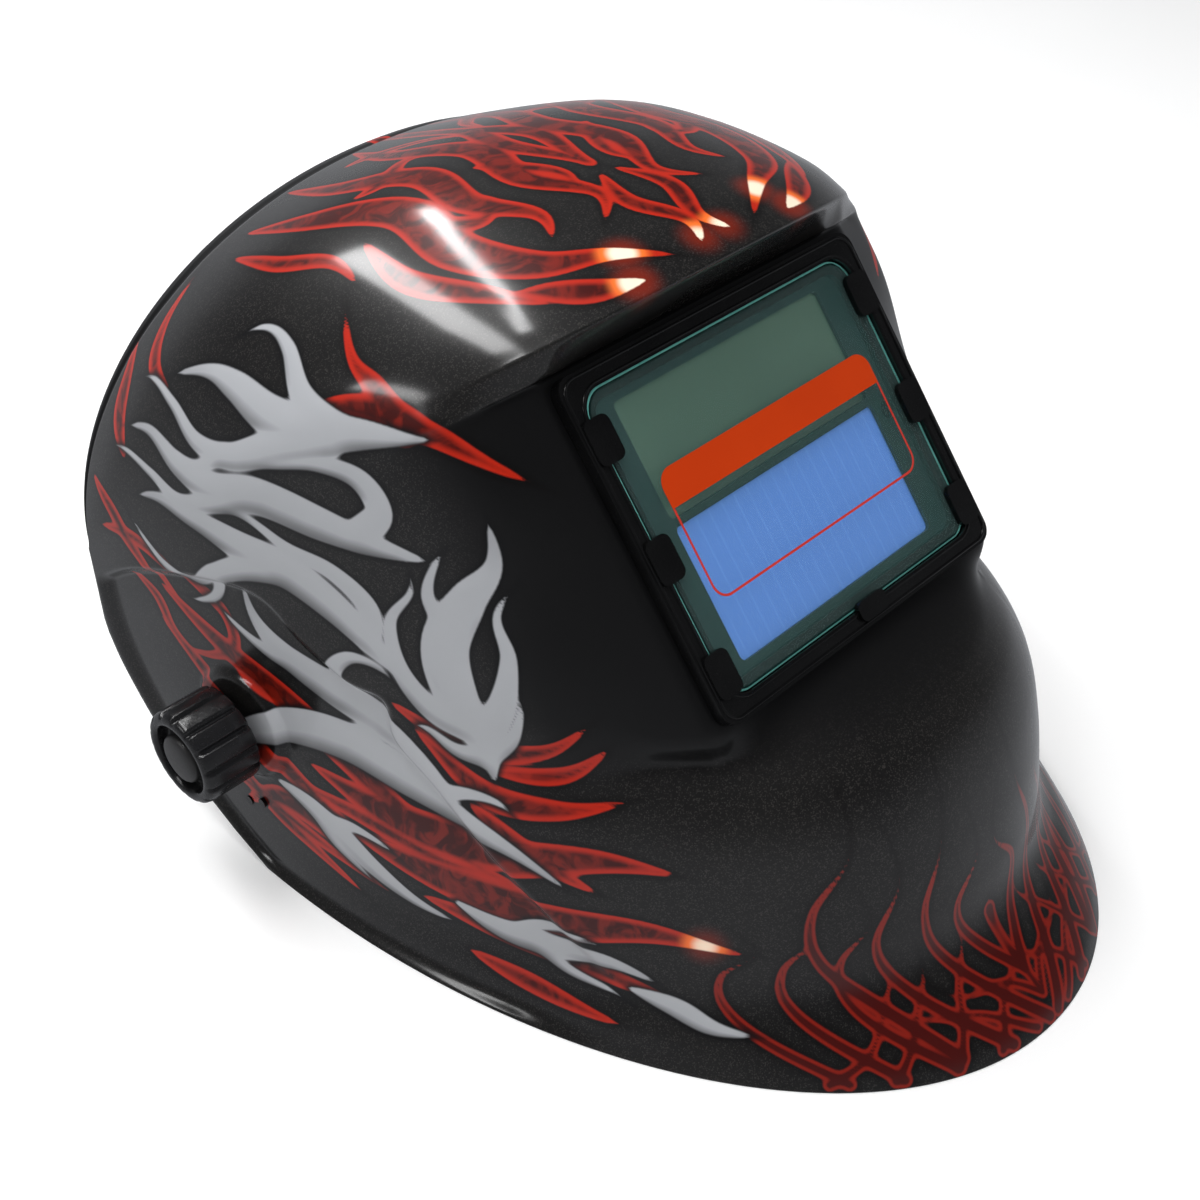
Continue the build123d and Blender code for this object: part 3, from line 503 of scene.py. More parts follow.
# Rounded in turn: the cheeks beside brow and jaw, the temple crease, the jaw, the brow and front corners
cheek_share = 1 - np.clip((from_rim - (CHEEK_STEPS - 50)) / 40, 0, 1)
off_rims = (from_rim > 0) & (row_index > 0) & (from_rear > 0)
for soft_place, rounds in (
    (np.maximum(near(row_index, crest_row - 8, 46), near(row_index, jaw_row, 40)) * cheek_share, 240),
    (near(from_rim, CHEEK_STEPS, 20), 40),
    (near(row_index, jaw_row, 9), 5),
    (near(row_index, crest_row, 7) + near(from_rim, CHEEK_STEPS + FLANK_STEPS, 4), 5),
):
    outer_grid = relax(outer_grid, np.clip(soft_place, 0, 1) * off_rims, rounds)

# ---------------- recess round the pivot, on both sides
RECESS = [(118, 74), (92, 92), (62, 104), (38, 108), (22, 99), (6, 91), (-6, 89), (-10, 77), (-26, 66),
          (-52, 46), (-80, 22), (-92, 12), (-60, -6), (60, -6), (118, 30)]
RECESS_STEPS = 6
RECESS_DEPTH, RECESS_SLOPE = 2.6, 2.2
PEG_SITES = ((50.0, 22.0), (43.0, 25.5))
PIVOT_Y, PIVOT_Z = 49.0, 55.0
BOSS_FOOT, BOSS_CLEAR = 16.5, 19.5
GROOVE_ROW, GROOVE_WIDTH, GROOVE_DEPTH = 6.0, 1.3, 0.7      # rows from the rear edge, rows, mm


def outline_distance(points, outline):
    """Signed distance from 2-D points to a closed outline, negative inside."""
    best = np.full(len(points), 1e9)
    inside = np.zeros(len(points), bool)
    for a, b in zip(outline, np.roll(outline, -1, axis=0)):
        span = b - a
        t = np.clip(((points - a) @ span) / (span @ span), 0, 1)
        best = np.minimum(best, np.linalg.norm(points - a - t[:, None] * span, axis=1))
        crosses = (a[1] > points[:, 1]) != (b[1] > points[:, 1])
        level = (points[:, 1] - a[1]) / (b[1] - a[1] if b[1] != a[1] else 1e-9)
        inside ^= crosses & (points[:, 0] < a[0] + level * (b[0] - a[0]))
    return np.where(inside, -best, best)


side_points = outer_grid[..., 1:].reshape(-1, 2)
recess_line = curve_through([*RECESS, RECESS[0]], RECESS_STEPS)[:-1]
recess_distance = outline_distance(side_points, recess_line).reshape(ROW_COUNT, COLUMN_COUNT)
from_pivot = np.hypot(outer_grid[..., 1] - PIVOT_Y, outer_grid[..., 2] - PIVOT_Z)
recess = soft_step(-recess_distance, -RECESS_SLOPE, RECESS_SLOPE)
recess *= soft_step(np.abs(outer_grid[..., 0]), 62, 84)
recess *= soft_step(from_pivot, BOSS_FOOT, BOSS_CLEAR)
recess *= soft_step(from_rim, 0, 10)
recess *= soft_step(row_index, 0, 14) * soft_step(outer_grid[..., 1], -92, -56)
sunk = grid_normals(outer_grid) * (RECESS_DEPTH * recess)[..., None]
outer_grid, inner_grid = outer_grid - sunk, inner_grid - sunk

# A shallow groove sets off the bead along the rear edge of the crown
groove = np.exp(-(((from_rear - GROOVE_ROW) / GROOVE_WIDTH) ** 2)) * soft_step(from_rim, 4, 16)
outer_grid = outer_grid - grid_normals(outer_grid) * (GROOVE_DEPTH * groove)[..., None]
outer_grid[..., 0] = np.clip(outer_grid[..., 0], -SIDE, SIDE)


# ---------------- artwork: flame licks, drawn on the right half
class Lick(NamedTuple):
    """A lick of flame: pointed at both ends, or at its tip only; its points run from root to tip."""

    width: float
    ends: str
    points: list
    glow: float = 0.0


# Side view points are (y, z), top view (x, y) and front view (x, z)
SILVER = [
    Lick(12, "both", [(-15, 171), (2, 169), (18, 166), (34, 165), (50, 167), (64, 166), (82, 158)]),
    Lick(9, "root", [(12, 168), (26, 172), (38, 179), (50, 180), (62, 173)]),
    Lick(11, "root", [(14, 165), (30, 158), (44, 151), (58, 150), (72, 155), (86, 156), (101, 149)]),
    Lick(5, "root", [(46, 151), (56, 144), (66, 144), (74, 148)]),
    Lick(12, "both", [(-19, 138), (-4, 139), (14, 141), (32, 143), (48, 140), (64, 141), (80, 145),
                      (97, 139)]),
    Lick(9, "root", [(2, 141), (-3, 149), (4, 157), (16, 158), (30, 154), (44, 152), (56, 146)]),
    Lick(8, "root", [(34, 143), (48, 136), (62, 131), (76, 134), (92, 135), (109, 127)]),
    Lick(13, "both", [(-17, 98), (-4, 107), (10, 116), (24, 122), (40, 124), (56, 127), (72, 128),
                      (88, 122)]),
    Lick(8, "root", [(-2, 109), (-1, 119), (10, 127), (24, 130), (38, 135), (52, 135), (66, 130)]),
    Lick(9, "root", [(24, 122), (40, 117), (52, 110), (62, 103), (74, 105), (84, 114), (95, 122)]),
    Lick(5, "root", [(52, 110), (55, 100), (64, 94), (74, 93)]),
    Lick(13, "both", [(-34, 66), (-18, 74), (-2, 81), (14, 85), (30, 90), (41, 99), (45, 114)]),
    Lick(8, "root", [(6, 83), (10, 93), (4, 101), (-6, 101), (-14, 94)]),
    Lick(7, "root", [(24, 88), (36, 88), (48, 92), (60, 99)]),
    Lick(14, "both", [(56, 42), (46, 54), (28, 64), (8, 68), (-14, 65), (-34, 61), (-54, 56), (-76, 46)]),
    Lick(7, "root", [(10, 68), (0, 75), (-12, 78), (-24, 74)]),
    Lick(6, "root", [(-22, 63), (-32, 69), (-44, 70), (-54, 65)]),
    Lick(15, "both", [(-42, 74), (-36, 88), (-28, 101), (-24, 115), (-28, 129), (-33, 141), (-28, 157)]),
    Lick(10, "root", [(-35, 90), (-22, 93), (-12, 103), (-8, 117), (-13, 128), (-11, 139)]),
    Lick(10, "root", [(-36, 88), (-41, 101), (-41, 115), (-36, 127), (-41, 141)]),
    Lick(6, "root", [(-26, 118), (-18, 127), (-19, 138), (-24, 147)]),
    Lick(6, "root", [(-38, 82), (-29, 82), (-20, 86), (-12, 85)]),
    Lick(6, "root", [(-38, 82), (-44, 90), (-46, 100), (-43, 110)]),
    Lick(9, "both", [(38, 40), (24, 38), (10, 33), (-4, 26), (-20, 21), (-40, 20)]),
    Lick(5, "root", [(14, 35), (4, 38), (-8, 37), (-18, 33)]),
    Lick(5, "root", [(20, 37), (12, 28), (0, 22), (-12, 17)]),
    Lick(9, "both", [(-30, 29), (-46, 25), (-62, 25), (-80, 27), (-98, 21)]),
    Lick(5, "root", [(-50, 25), (-60, 32), (-74, 33), (-84, 30)]),
    Lick(5, "root", [(-56, 25), (-68, 19), (-82, 17), (-94, 13)]),
    Lick(6, "both", [(-84, 20), (-98, 17), (-110, 13), (-124, 12)]),
]
RED_SIDE = [
    Lick(8, "both", [(88, 132), (97, 141), (103, 150), (112, 158)]),
    Lick(6, "both", [(74, 157), (88, 158), (97, 164), (103, 176)]),
    Lick(9, "root", [(-6, 172), (6, 179), (18, 183), (36, 194)]),
    Lick(8, "both", [(24, 170), (10, 174), (-6, 174), (-22, 168), (-40, 157)]),
    Lick(11, "both", [(84, 94), (58, 82), (30, 72), (0, 59), (-32, 47), (-66, 40)]),
    Lick(9, "both", [(86, 80), (62, 64), (34, 48), (8, 38), (-20, 34)]),
    Lick(14, "both", [(24, 54), (-10, 50), (-44, 53), (-74, 62), (-98, 62)]),
    Lick(14, "both", [(12, 37), (-24, 35), (-60, 36), (-90, 41), (-117, 35)], 0.8),
    Lick(9, "both", [(54, 20), (34, 33), (12, 30), (-16, 19)]),
    Lick(6, "both", [(60, 42), (42, 28), (20, 20), (-8, 11)]),
    Lick(9, "both", [(-18, 25), (-50, 24), (-80, 22), (-106, 16)]),
    Lick(6, "both", [(-36, 13), (-64, 10), (-94, 9)]),
    Lick(8, "both", [(-14, 86), (-38, 72), (-60, 73), (-80, 81)]),
    Lick(7, "both", [(-34, 68), (-56, 58), (-80, 50)]),
    Lick(5, "both", [(70, 104), (54, 96), (50, 84), (62, 74), (84, 70)]),
    Lick(5, "both", [(106, 104), (86, 108), (66, 101), (48, 88)]),
    Lick(6, "both", [(108, 121), (96, 113), (84, 100), (66, 84)]),
    Lick(5, "both", [(96, 92), (84, 86), (78, 76), (66, 68)]),
    Lick(7, "both", [(-6, 92), (-30, 84), (-52, 88), (-66, 104)]),
    Lick(5, "both", [(-36, 78), (-58, 82), (-70, 96)]),
    Lick(6, "both", [(30, 44), (2, 44), (-30, 42), (-58, 46)]),
    Lick(5, "both", [(70, 32), (50, 30), (28, 26), (4, 22), (-24, 17)]),
]
RED_TOP = [
    Lick(15, "both", [(-64, 98), (-60, 70), (-49, 40), (-53, 14), (-45, -8), (-29, -20), (-10, -35)], 0.9),
    Lick(12, "both", [(-42, 106), (-43, 76), (-33, 50), (-37, 26), (-30, 6), (-38, -8)]),
    Lick(12, "both", [(-14, 108), (-21, 78), (-13, 50), (-19, 24), (-11, 2), (-25, -13)]),
    Lick(9, "both", [(0, 100), (0, 70), (-6, 44), (0, 18), (0, -14)]),
    Lick(8, "root", [(-50, 26), (-41, 17), (-33, 22), (-36, 32)]),
    Lick(8, "both", [(-62, 44), (-67, 18), (-59, -6), (-50, -24)]),
    Lick(6, "both", [(-24, 42), (-15, 30), (-10, 16), (-17, 4)]),
    Lick(8, "both", [(-56, -10), (-42, -25), (-26, -33)], 1.0),
    Lick(6, "both", [(-74, 90), (-76, 64), (-71, 44), (-75, 26)]),
    Lick(6, "both", [(-30, 92), (-20, 88), (-8, 76), (-4, 60)]),
    Lick(6, "both", [(-50, 62), (-40, 60), (-26, 66), (-18, 60)]),
    Lick(7, "both", [(-2, 12), (-8, -6), (-2, -22), (-8, -34)], 0.8),
]
RED_FRONT = [
    Lick(5, "root", [(-2, 2), (-20, 20), (-26, 40), (-18, 62), (-13, 93)]),
    Lick(5, "root", [(-18, 2), (-35, 18), (-41, 36), (-33, 56), (-37, 81)]),
    Lick(4.4, "root", [(-36, 2), (-50, 16), (-50, 32), (-42, 44), (-46, 60)]),
    Lick(4.4, "root", [(-50, 2), (-63, 16), (-63, 31), (-56, 42), (-62, 54)]),
    Lick(5, "root", [(12, 2), (-8, 20), (-14, 36), (-4, 50), (-8, 70)]),
    Lick(5, "root", [(-34, 4), (-54, 30), (-56, 50), (-45, 68), (-41, 91)]),
    Lick(3.8, "root", [(-8, 2), (-22, 10), (-40, 14), (-54, 26)]),
    Lick(3.8, "root", [(-36, 2), (-24, 14), (-14, 24), (-18, 40)]),
    Lick(3.8, "root", [(6, 2), (-8, 12), (-26, 15), (-35, 30)]),
    Lick(3.8, "root", [(-62, 2), (-75, 14), (-75, 28), (-68, 38), (-76, 50)]),
    Lick(3.8, "root", [(-52, 2), (-40, 12), (-29, 22), (-31, 38)]),
    Lick(3.8, "root", [(-22, 2), (-13, 10), (0, 16), (-2, 32)]),
    Lick(3.8, "root", [(-66, 2), (-52, 10), (-38, 24), (-44, 40)]),
]
LICK_STEPS = 9
BLEND = 1.7             # sharpness with which licks run together, per mm
EMBER_R = 6.5           # size of the glow at a tip
BLUNT_R = 0.9           # a lick thinner than this ends quickly
FAR = 12.0              # distances to a lick are cut off here
DEEPEST, OUTERMOST = -9, 6      # limits of the distance that the paint reads
TIP_AT = {"both": 0.84, "root": 0.78}       # where a tip glows, as a share of the lick
SHADE_ROUNDS = 8        # softening of the silver licks' shading
COARSE = 4              # the drawn lines are laid on a surface of every fourth point of the shell

half_points = outer_grid[:, :MIDDLE + 1].reshape(-1, 3)
coarse_rows = np.unique(np.append(np.arange(0, ROW_COUNT, COARSE), ROW_COUNT - 1))
coarse_columns = np.unique(np.append(np.arange(0, MIDDLE, COARSE), MIDDLE))
coarse = outer_grid[np.ix_(coarse_rows, coarse_columns)]
coarse_quads = grid_quads(np.arange(coarse[..., 0].size).reshape(coarse.shape[:2])).reshape(-1, 4)
surface = BVHTree.FromPolygons(coarse.reshape(-1, 3).tolist(), coarse_quads.tolist())
AIM = {
    "side": lambda a, b: (Vector((-400, a, b)), Vector((1, 0, 0))),
    "top": lambda a, b: (Vector((a, b, 500)), Vector((0, 0, -1))),
    "front": lambda a, b: (Vector((a, -500, b)), Vector((0, 1, 0))),
}


def lifted(view, a, b):
    """A drawn point on the shell's surface."""
    start, aim = AIM[view](a, b)
    spot = surface.ray_cast(start, aim)[0]
    if spot is None:
        spot = surface.find_nearest(start + aim * (start.length - 100))[0]
    return np.array(spot)


def lick_radius(lick, s):
    """Half widths at shares s of the way from root to tip."""
    if lick.ends == "root":
        radius = lick.width / 2 * (1 - s**1.7) ** 1.1 * (0.82 + 0.18 * np.cos(4 * s))
    else:
        radius = lick.width / 2 * np.sin(np.pi * s**0.8) ** 1.3
    return np.where(radius < BLUNT_R, 3 * radius - 2 * BLUNT_R, radius)


def nearest_on_line(p, line, radius, s):
    """Distance outside a lick, share of the way along it and place across it, for points p."""
    best = np.full(len(p), 1e9)
    along, across = np.zeros(len(p)), np.zeros(len(p))
    for k in range(len(line) - 1):
        span = line[k + 1] - line[k]
        t = np.clip(((p - line[k]) @ span) / max(np.linalg.norm(span) ** 2, 1e-9), 0, 1)
        gap = p - line[k] - t[:, None] * span
        r = radius[k] + (radius[k + 1] - radius[k]) * t
        outside = np.linalg.norm(gap, axis=1) - r
        better = outside < best
        best = np.where(better, outside, best)
        along = np.where(better, s[k] + (s[k + 1] - s[k]) * t, along)
        across = np.where(better, gap[:, 2] / np.maximum(r, 0.8), across)
    return best, along, across


def licks_on_surface(**views):
    """On the half: distance outside the licks, place along and across, share of front licks, and glow."""
    total, along, across, front, ember = np.zeros((5, len(half_points)))
    drawn = [(view, lick) for view, licks in views.items() for lick in licks]
    for view, lick in drawn:
        line = np.array([lifted(view, a, b) for a, b in curve_through(lick.points, LICK_STEPS)])
        s = np.linspace(0, 1, len(line))
        low, high = line.min(0) - lick.width - 4, line.max(0) + lick.width + 4
        pick = np.nonzero(((half_points > low) & (half_points < high)).all(1))[0]
        p = half_points[pick]
        outside, where, sideways = nearest_on_line(p, line, lick_radius(lick, s), s)
        weight = np.exp(-BLEND * np.clip(outside, -FAR, FAR))
        total[pick] += weight
        along[pick] += weight * where
        across[pick] += weight * np.clip(sideways, -1.5, 1.5)
        front[pick] += weight * (view == "front")
        if lick.glow:
            tip = line[int(len(line) * TIP_AT[lick.ends])]
            fade = np.exp(-((np.linalg.norm(p - tip, axis=1) / EMBER_R) ** 2))
            ember[pick] = np.maximum(ember[pick], lick.glow * fade)
    safe = np.maximum(total, 1e-12)
    depth = np.clip(-np.log(safe) / BLEND, DEEPEST, OUTERMOST)
    return depth, along / safe, across / safe, front / safe, ember


def whole(values):
    """Values of the wearer's right half, mirrored to the whole grid."""
    half = values.reshape(ROW_COUNT, MIDDLE + 1)
    return np.hstack([half, half[:, -2::-1]])


silver, silver_along, silver_across = (whole(values) for values in licks_on_surface(side=SILVER)[:3])
red_licks_found = licks_on_surface(side=RED_SIDE, top=RED_TOP, front=RED_FRONT)
red, red_front, ember = (whole(red_licks_found[k]) for k in (0, 3, 4))
silver_across = relax(silver_across[..., None], np.ones((ROW_COUNT, COLUMN_COUNT)), SHADE_ROUNDS)[..., 0]

# Distance to the stop pegs: the paint darkens spots there as painted shade, standing for holes that the
# shell mesh lacks
NO_PEG = 9.0            # stands for any place that is far from a peg
peg_hole_shade_distance = np.full((ROW_COUNT, COLUMN_COUNT), NO_PEG)
for peg_y, peg_z in PEG_SITES:
    peg_hole_shade_distance = np.minimum(peg_hole_shade_distance, np.hypot(outer_grid[..., 1] - peg_y, outer_grid[..., 2] - peg_z))
peg_hole_shade_distance = np.where(np.abs(outer_grid[..., 0]) > 60, peg_hole_shade_distance, NO_PEG)

# Plain black: the front face round the window, the flanks beside it and the rear bead of the crown
plain = soft_step(from_rim, CHEEK_STEPS - 26, CHEEK_STEPS - 2)
plain *= soft_step(row_index, face_row - 12, face_row + 1)
plain *= 1 - soft_step(row_index, bevel_row - 4, bevel_row - 1)
plain = np.maximum(plain, soft_step(-from_rear, -7.0, -6.0))

ATTRIBUTES = {
    "silver": silver, "silver_along": silver_along, "silver_across": silver_across,
    "red": red, "red_front": red_front, "ember": ember, "plain": plain, "peg_hole_shade_distance": peg_hole_shade_distance,
}


# ---------------- shell paint
def red_licks(s):
    """Colour of the red licks: smoky in a bright outline, glowing at a few tips and darker on the chin."""
    distance, glow = s.attribute("red"), s.attribute("ember")
    core = s.mix(s.step(s.noise(120.0, 2.0, 1.5), 0.4, 0.65), (0.045, 0.0025, 0.0015), (0.16, 0.008, 0.003))
    fill = s.mix(s.step(distance, -2.6, -0.4), core, (0.42, 0.015, 0.004))
    chin = s.mix(s.step(distance, -1.3, -0.5), (0.055, 0.0028, 0.0018), (0.22, 0.010, 0.004))
    fill = s.mix(s.attribute("red_front"), fill, chin)
    fill = s.mix(s.step(glow, 0.12, 0.5), fill, (0.85, 0.16, 0.025))
    return s.mix(s.step(glow, 0.45, 0.8), fill, (1.0, 0.78, 0.60))


def silver_licks(s):
    """Colour of the silver licks: shaded across, darker towards the tips and along a thin rim."""
    cloud = s.scaled(s.math("SUBTRACT", s.noise(60.0, 2.0), 0.5), 0.25)
    shade = s.math("ADD", s.attribute("silver_across"), cloud)
    fill = s.ramp(s.step(shade, -1.0, 1.0, smooth=False), (0.0, (0.07, 0.07, 0.075)),
                  (0.2, (0.20, 0.205, 0.215)), (0.4, (0.37, 0.38, 0.40)), (1.0, (0.40, 0.41, 0.43)))
    fill = s.mix(s.scaled(s.step(s.attribute("silver_along"), 0.75, 1.0), 0.4), fill, (0.12, 0.12, 0.13))
    return s.mix(s.scaled(s.step(s.attribute("silver"), -0.5, 0.0), 0.6), fill, (0.05, 0.05, 0.055))


def shell_paint():
    """Black paint with fine metal flakes, the licks with their dark halos, dark spots of painted shade for
    the stop pegs' holes, and clear coat.
    """
    s = Shader("shell_paint")
    spark = s.node("ShaderNodeSeparateColor", None, Color=s.cells(3200.0)[1]).outputs[0]
    colour = s.mix(s.step(s.noise(14.0, 3.0), 0.3, 0.75), (0.0062, 0.006, 0.006), (0.0105, 0.0102, 0.0098))
    colour = s.mix(s.scaled(s.step(spark, 0.70, 1.0), 0.5), colour, (0.050, 0.046, 0.043))
    colour = s.mix(s.attribute("plain"), colour, (0.0045, 0.0045, 0.0048))
    distance = s.attribute("red")
    colour = s.mix(s.scaled(s.step(distance, 2.8, 0.2), 0.75), colour, (0.003, 0.0025, 0.0025))
    colour = s.mix(s.scaled(s.step(s.attribute("ember"), 0.1, 0.9), 0.5), colour, (0.30, 0.02, 0.004))
    colour = s.mix(s.step(distance, 0.35, -0.35), colour, red_licks(s))
    distance = s.attribute("silver")
    colour = s.mix(s.scaled(s.step(distance, 2.4, 0.1), 0.92), colour, (0.003, 0.003, 0.0035))
    colour = s.mix(s.step(distance, 0.3, -0.3), colour, silver_licks(s))
    # Painted shade: dark spots at the stop pegs stand for the shade inside their holes
    colour = s.mix(s.step(s.attribute("peg_hole_shade_distance"), 2.4, 2.0), colour, (0.002, 0.002, 0.002))
    s.set(Base_Color=colour, Metallic=0.0, Roughness=0.4, Specular_IOR_Level=0.15,
          Coat_Roughness=0.12, Coat_IOR=1.42,
          Coat_Weight=s.math("MULTIPLY_ADD", s.attribute("plain"), -0.6, 1.0))
    s.bump(spark, 0.00001, 0.25)
    return s.material


# ---------------- shell mesh
def shell_mesh(paint, bare):
    """The thick shell: painted outside, bare inside, closed rims, and the opening for the window."""
    count = ROW_COUNT * COLUMN_COUNT
    index = np.arange(count).reshape(ROW_COUNT, COLUMN_COUNT)
    bottom = face_row + MARGIN_STEPS
    top = bottom + OPENING_STEPS
    left = CHEEK_STEPS + FLANK_STEPS + CORNER_STEPS
    right = COLUMN_COUNT - 1 - left
    keep = np.ones((ROW_COUNT - 1, COLUMN_COUNT - 1), bool)
    keep[bottom:top, left:right] = False
    skin = grid_quads(index)[keep]

    def strip(edge):
        """Faces that join the outside to the inside along an edge."""
        return np.stack([edge[:-1], edge[1:], edge[1:] + count, edge[:-1] + count], 1)

    faces = np.vstack([
        skin[:, ::-1], skin + count,
        strip(index[0]), strip(index[:, -1]), strip(index[-1][::-1]), strip(index[::-1, 0]),
        strip(index[bottom, left:right + 1][::-1]), strip(index[bottom:top + 1, left]),
        strip(index[top, left:right + 1]), strip(index[bottom:top + 1, right][::-1]),
    ])
    points = np.vstack([outer_grid.reshape(-1, 3), inner_grid.reshape(-1, 3)]) * MM
    mesh = bpy.data.meshes.new("painted_shell")
    mesh.vertices.add(len(points))
    mesh.vertices.foreach_set("co", points.astype(np.float32).ravel())
    mesh.loops.add(faces.size)
    mesh.loops.foreach_set("vertex_index", faces.astype(np.int32).ravel())
    mesh.polygons.add(len(faces))
    mesh.polygons.foreach_set("loop_start", np.arange(0, faces.size, 4, dtype=np.int32))
    mesh.update(calc_edges=True)
    mesh.materials.append(paint)
    mesh.materials.append(bare)
    slots = np.ones(len(faces), np.int32)
    slots[: len(skin)] = 0
    mesh.polygons.foreach_set("material_index", slots)
    unpainted = np.full(count, float(OUTERMOST))
    for name, values in ATTRIBUTES.items():
        layer = mesh.attributes.new(name, "FLOAT", "POINT")
        layer.data.foreach_set("value", np.concatenate([values.ravel(), unpainted]).astype(np.float32))
    mesh.shade_smooth()
    return link_object("painted_shell", mesh)


inside = plastic("shell_inside", (0.012, 0.012, 0.0125), (0.018, 0.018, 0.019), 0.42, 700.0, 0.00004)
shell = shell_mesh(shell_paint(), inside)
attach(shell, "shell")
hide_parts("shell")

# ---------------- materials of the carried-over nodes
satin = plastic("satin_black", (0.0022, 0.0022, 0.0024), (0.004, 0.004, 0.0042), 0.24, 1500.0, 0.00002, 0.45)
strap_plastic = plastic("strap_plastic", (0.016, 0.016, 0.017), (0.024, 0.024, 0.026), 0.45)
control_plastic = plastic("control_plastic", (0.02, 0.02, 0.021), (0.03, 0.03, 0.031), 0.4)
case_plastic = plastic("case_plastic", (0.004, 0.013, 0.0125), (0.007, 0.019, 0.018), 0.35)
knob_gloss = plastic("knob_gloss", (0.006, 0.006, 0.0065), (0.010, 0.010, 0.011), 0.24, 1200.0, 0.00002)
cap_grey = plastic("cap_grey", (0.014, 0.0137, 0.014), (0.023, 0.0225, 0.023), 0.38, 1200.0, 0.00003)
rubber = plastic("washer_rubber", (0.02, 0.02, 0.02), (0.035, 0.035, 0.035), 0.7)
lcd_glass = mottled("dark_filter_glass", 20.0, 2.0, (0.054, 0.096, 0.064), (0.088, 0.145, 0.098),
                    Roughness=0.08, Coat_Weight=0.6, Coat_Roughness=0.02)


def plated_steel():
    s = Shader("plated_steel")
    s.set(Base_Color=s.mix(s.noise(300.0), (0.45, 0.45, 0.46), (0.62, 0.62, 0.63)),
          Metallic=1.0, Roughness=s.math("MULTIPLY_ADD", s.noise(900.0), 0.2, 0.2))
    return s.material


def board_green():
    """Circuit board, speckled like pads and tracks."""
    s = Shader("circuit_board")
    speckle = s.step(s.cells(350.0)[0], 0.2, 0.3)
    s.set(Base_Color=s.mix(speckle, (0.02, 0.12, 0.05), (0.03, 0.20, 0.09)), Roughness=0.4)
    return s.material


def solar_blue():
    """Solar cell with faint fingers across it."""
    s = Shader("solar_cell")
    wave = s.node("ShaderNodeTexWave", {"bands_direction": "X"}, Scale=60.0, Vector=s.where())
    fingers = s.step(wave.outputs["Fac"], 0.94, 0.99)
    s.set(Base_Color=s.mix(fingers, (0.115, 0.27, 0.78), (0.13, 0.30, 0.82)),
          Roughness=0.2, Coat_Weight=0.8, Coat_Roughness=0.03)
    return s.material


def clear_sheet():
    """Clear lens with a faint tint and light scuffs."""
    s = Shader("clear_lens")
    scuff = s.noise(70.0, 4.0)
    s.set(Base_Color=s.mix(s.step(scuff, 0.45, 0.8), (0.08, 0.42, 0.38), (0.12, 0.48, 0.44)),
          Alpha=0.03, IOR=1.49, Coat_Weight=0.5, Coat_Roughness=0.03,
          Roughness=s.math("MULTIPLY_ADD", s.step(scuff, 0.55, 0.8), 0.03, 0.02))
    return s.material


steel, clear_lens = plated_steel(), clear_sheet()
NODES_OF = (
    (satin, ("window_frame", "filter_holder", "pivot_arm_left", "pivot_bolt_left", "stop_plate_left",
             "pivot_arm_right", "pivot_bolt_right", "stop_plate_right")),
    (case_plastic, ("filter_front", "filter_rear")),
    (lcd_glass, ("lcd_filter",)),
    (solar_blue(), ("solar_panel",)),
    (board_green(), ("circuit_board",)),
    (steel, ("battery_cells", "retaining_wires", "band_rivets")),
    (knob_gloss, ("arc_sensors",)),
    (clear_lens, ("inner_lens",)),
    (control_plastic, ("shade_control", "sensitivity_control", "delay_switch", "ratchet_knob",
                       "ratchet_pinion")),
    (strap_plastic, ("front_band", "rear_band_left", "rear_band_right", "top_strap_left", "top_strap_right",
                     "strap_stud", "ratchet_housing", "ratchet_cover")),
    (rubber, ("friction_washer_left", "friction_washer_right")),
)
EDGES = (                       # width in mm of the softened edges
    (0.6, ("window_frame",)),
    (0.4, ("front_band", "rear_band_left", "rear_band_right", "top_strap_left", "top_strap_right")),
    (0.5, ("ratchet_housing", "ratchet_cover", "pivot_arm_left", "pivot_arm_right", "filter_holder")),
)
for node_material, node_names in NODES_OF:
    for node_name in node_names:
        paint_node(node_name, node_material)
for edge_width, node_names in EDGES:
    for node_name in node_names:
        soften(node_name, edge_width)

# ---------------- window: lens, and film with a plain band
# Boxes are (low across, low up, high across, high up) in the window's own directions
LENS = (-55.0, -45.0, 55.0, 45.0)
LENS_R, LENS_OUT, LENS_THICK = 8.0, 2.0, 1.2
CHAMFER, CHAMFER_FROM, CHAMFER_R = 0.55, 0.75, 7.5
FILM = (-53.8, -43.8, 53.8, 43.8)
FILM_R, FILM_OUT, FILM_THICK = 7.0, LENS_OUT + LENS_THICK + 0.01, 0.1
LABEL, LABEL_R, LABEL_LINE = (-43.5, -21.0, 46.0, 17.5), 5.0, 0.7
BAND_FROM = 7.0
PRINT_OUT, BAND_INK, LINE_INK = FILM_OUT + 0.12, 0.05, 0.04
BEADS = (                       # name, box, corner radius, distance out
    ("frame_bead", (-59.2, -49.7, 59.2, 49.7), 5.0, 4.1),
    ("frame_lip", (-56.2, -46.2, 56.2, 46.2), 8.5, 4.0),
)
BEAD_R = 0.45


def window_point(u, v, out):
    return WINDOW_AT + WINDOW_UP * v + WINDOW_OUT * out + np.array([u, 0, 0])


def shrunk(box, by):
    return box[0] + by, box[1] + by, box[2] - by, box[3] - by


def rounded_box(low_u, low_v, high_u, high_v, radius, steps=10):
    """A rectangle with round corners, anticlockwise from outside."""
    out = []
    for cu, cv, start in ((high_u - radius, low_v + radius, -90), (high_u - radius, high_v - radius, 0),
                          (low_u + radius, high_v - radius, 90), (low_u + radius, low_v + radius, 180)):
        for k in range(steps + 1):
            angle = math.radians(start + 90 * k / steps)
            out.append((cu + radius * math.cos(angle), cv + radius * math.sin(angle)))
    return out


def window_loops(name, loops, material, closed=True):
    """A piece through matching outlines, each with its distance out from the window plane."""
    count = len(loops[0][0])
    points = [window_point(u, v, out) for outline, out in loops for u, v in outline]
    faces = [*ring_quads(len(loops), count), *(ring_ends(len(loops), count) if closed else ())]
    return mesh_object(name, points, faces, material, smooth=False)


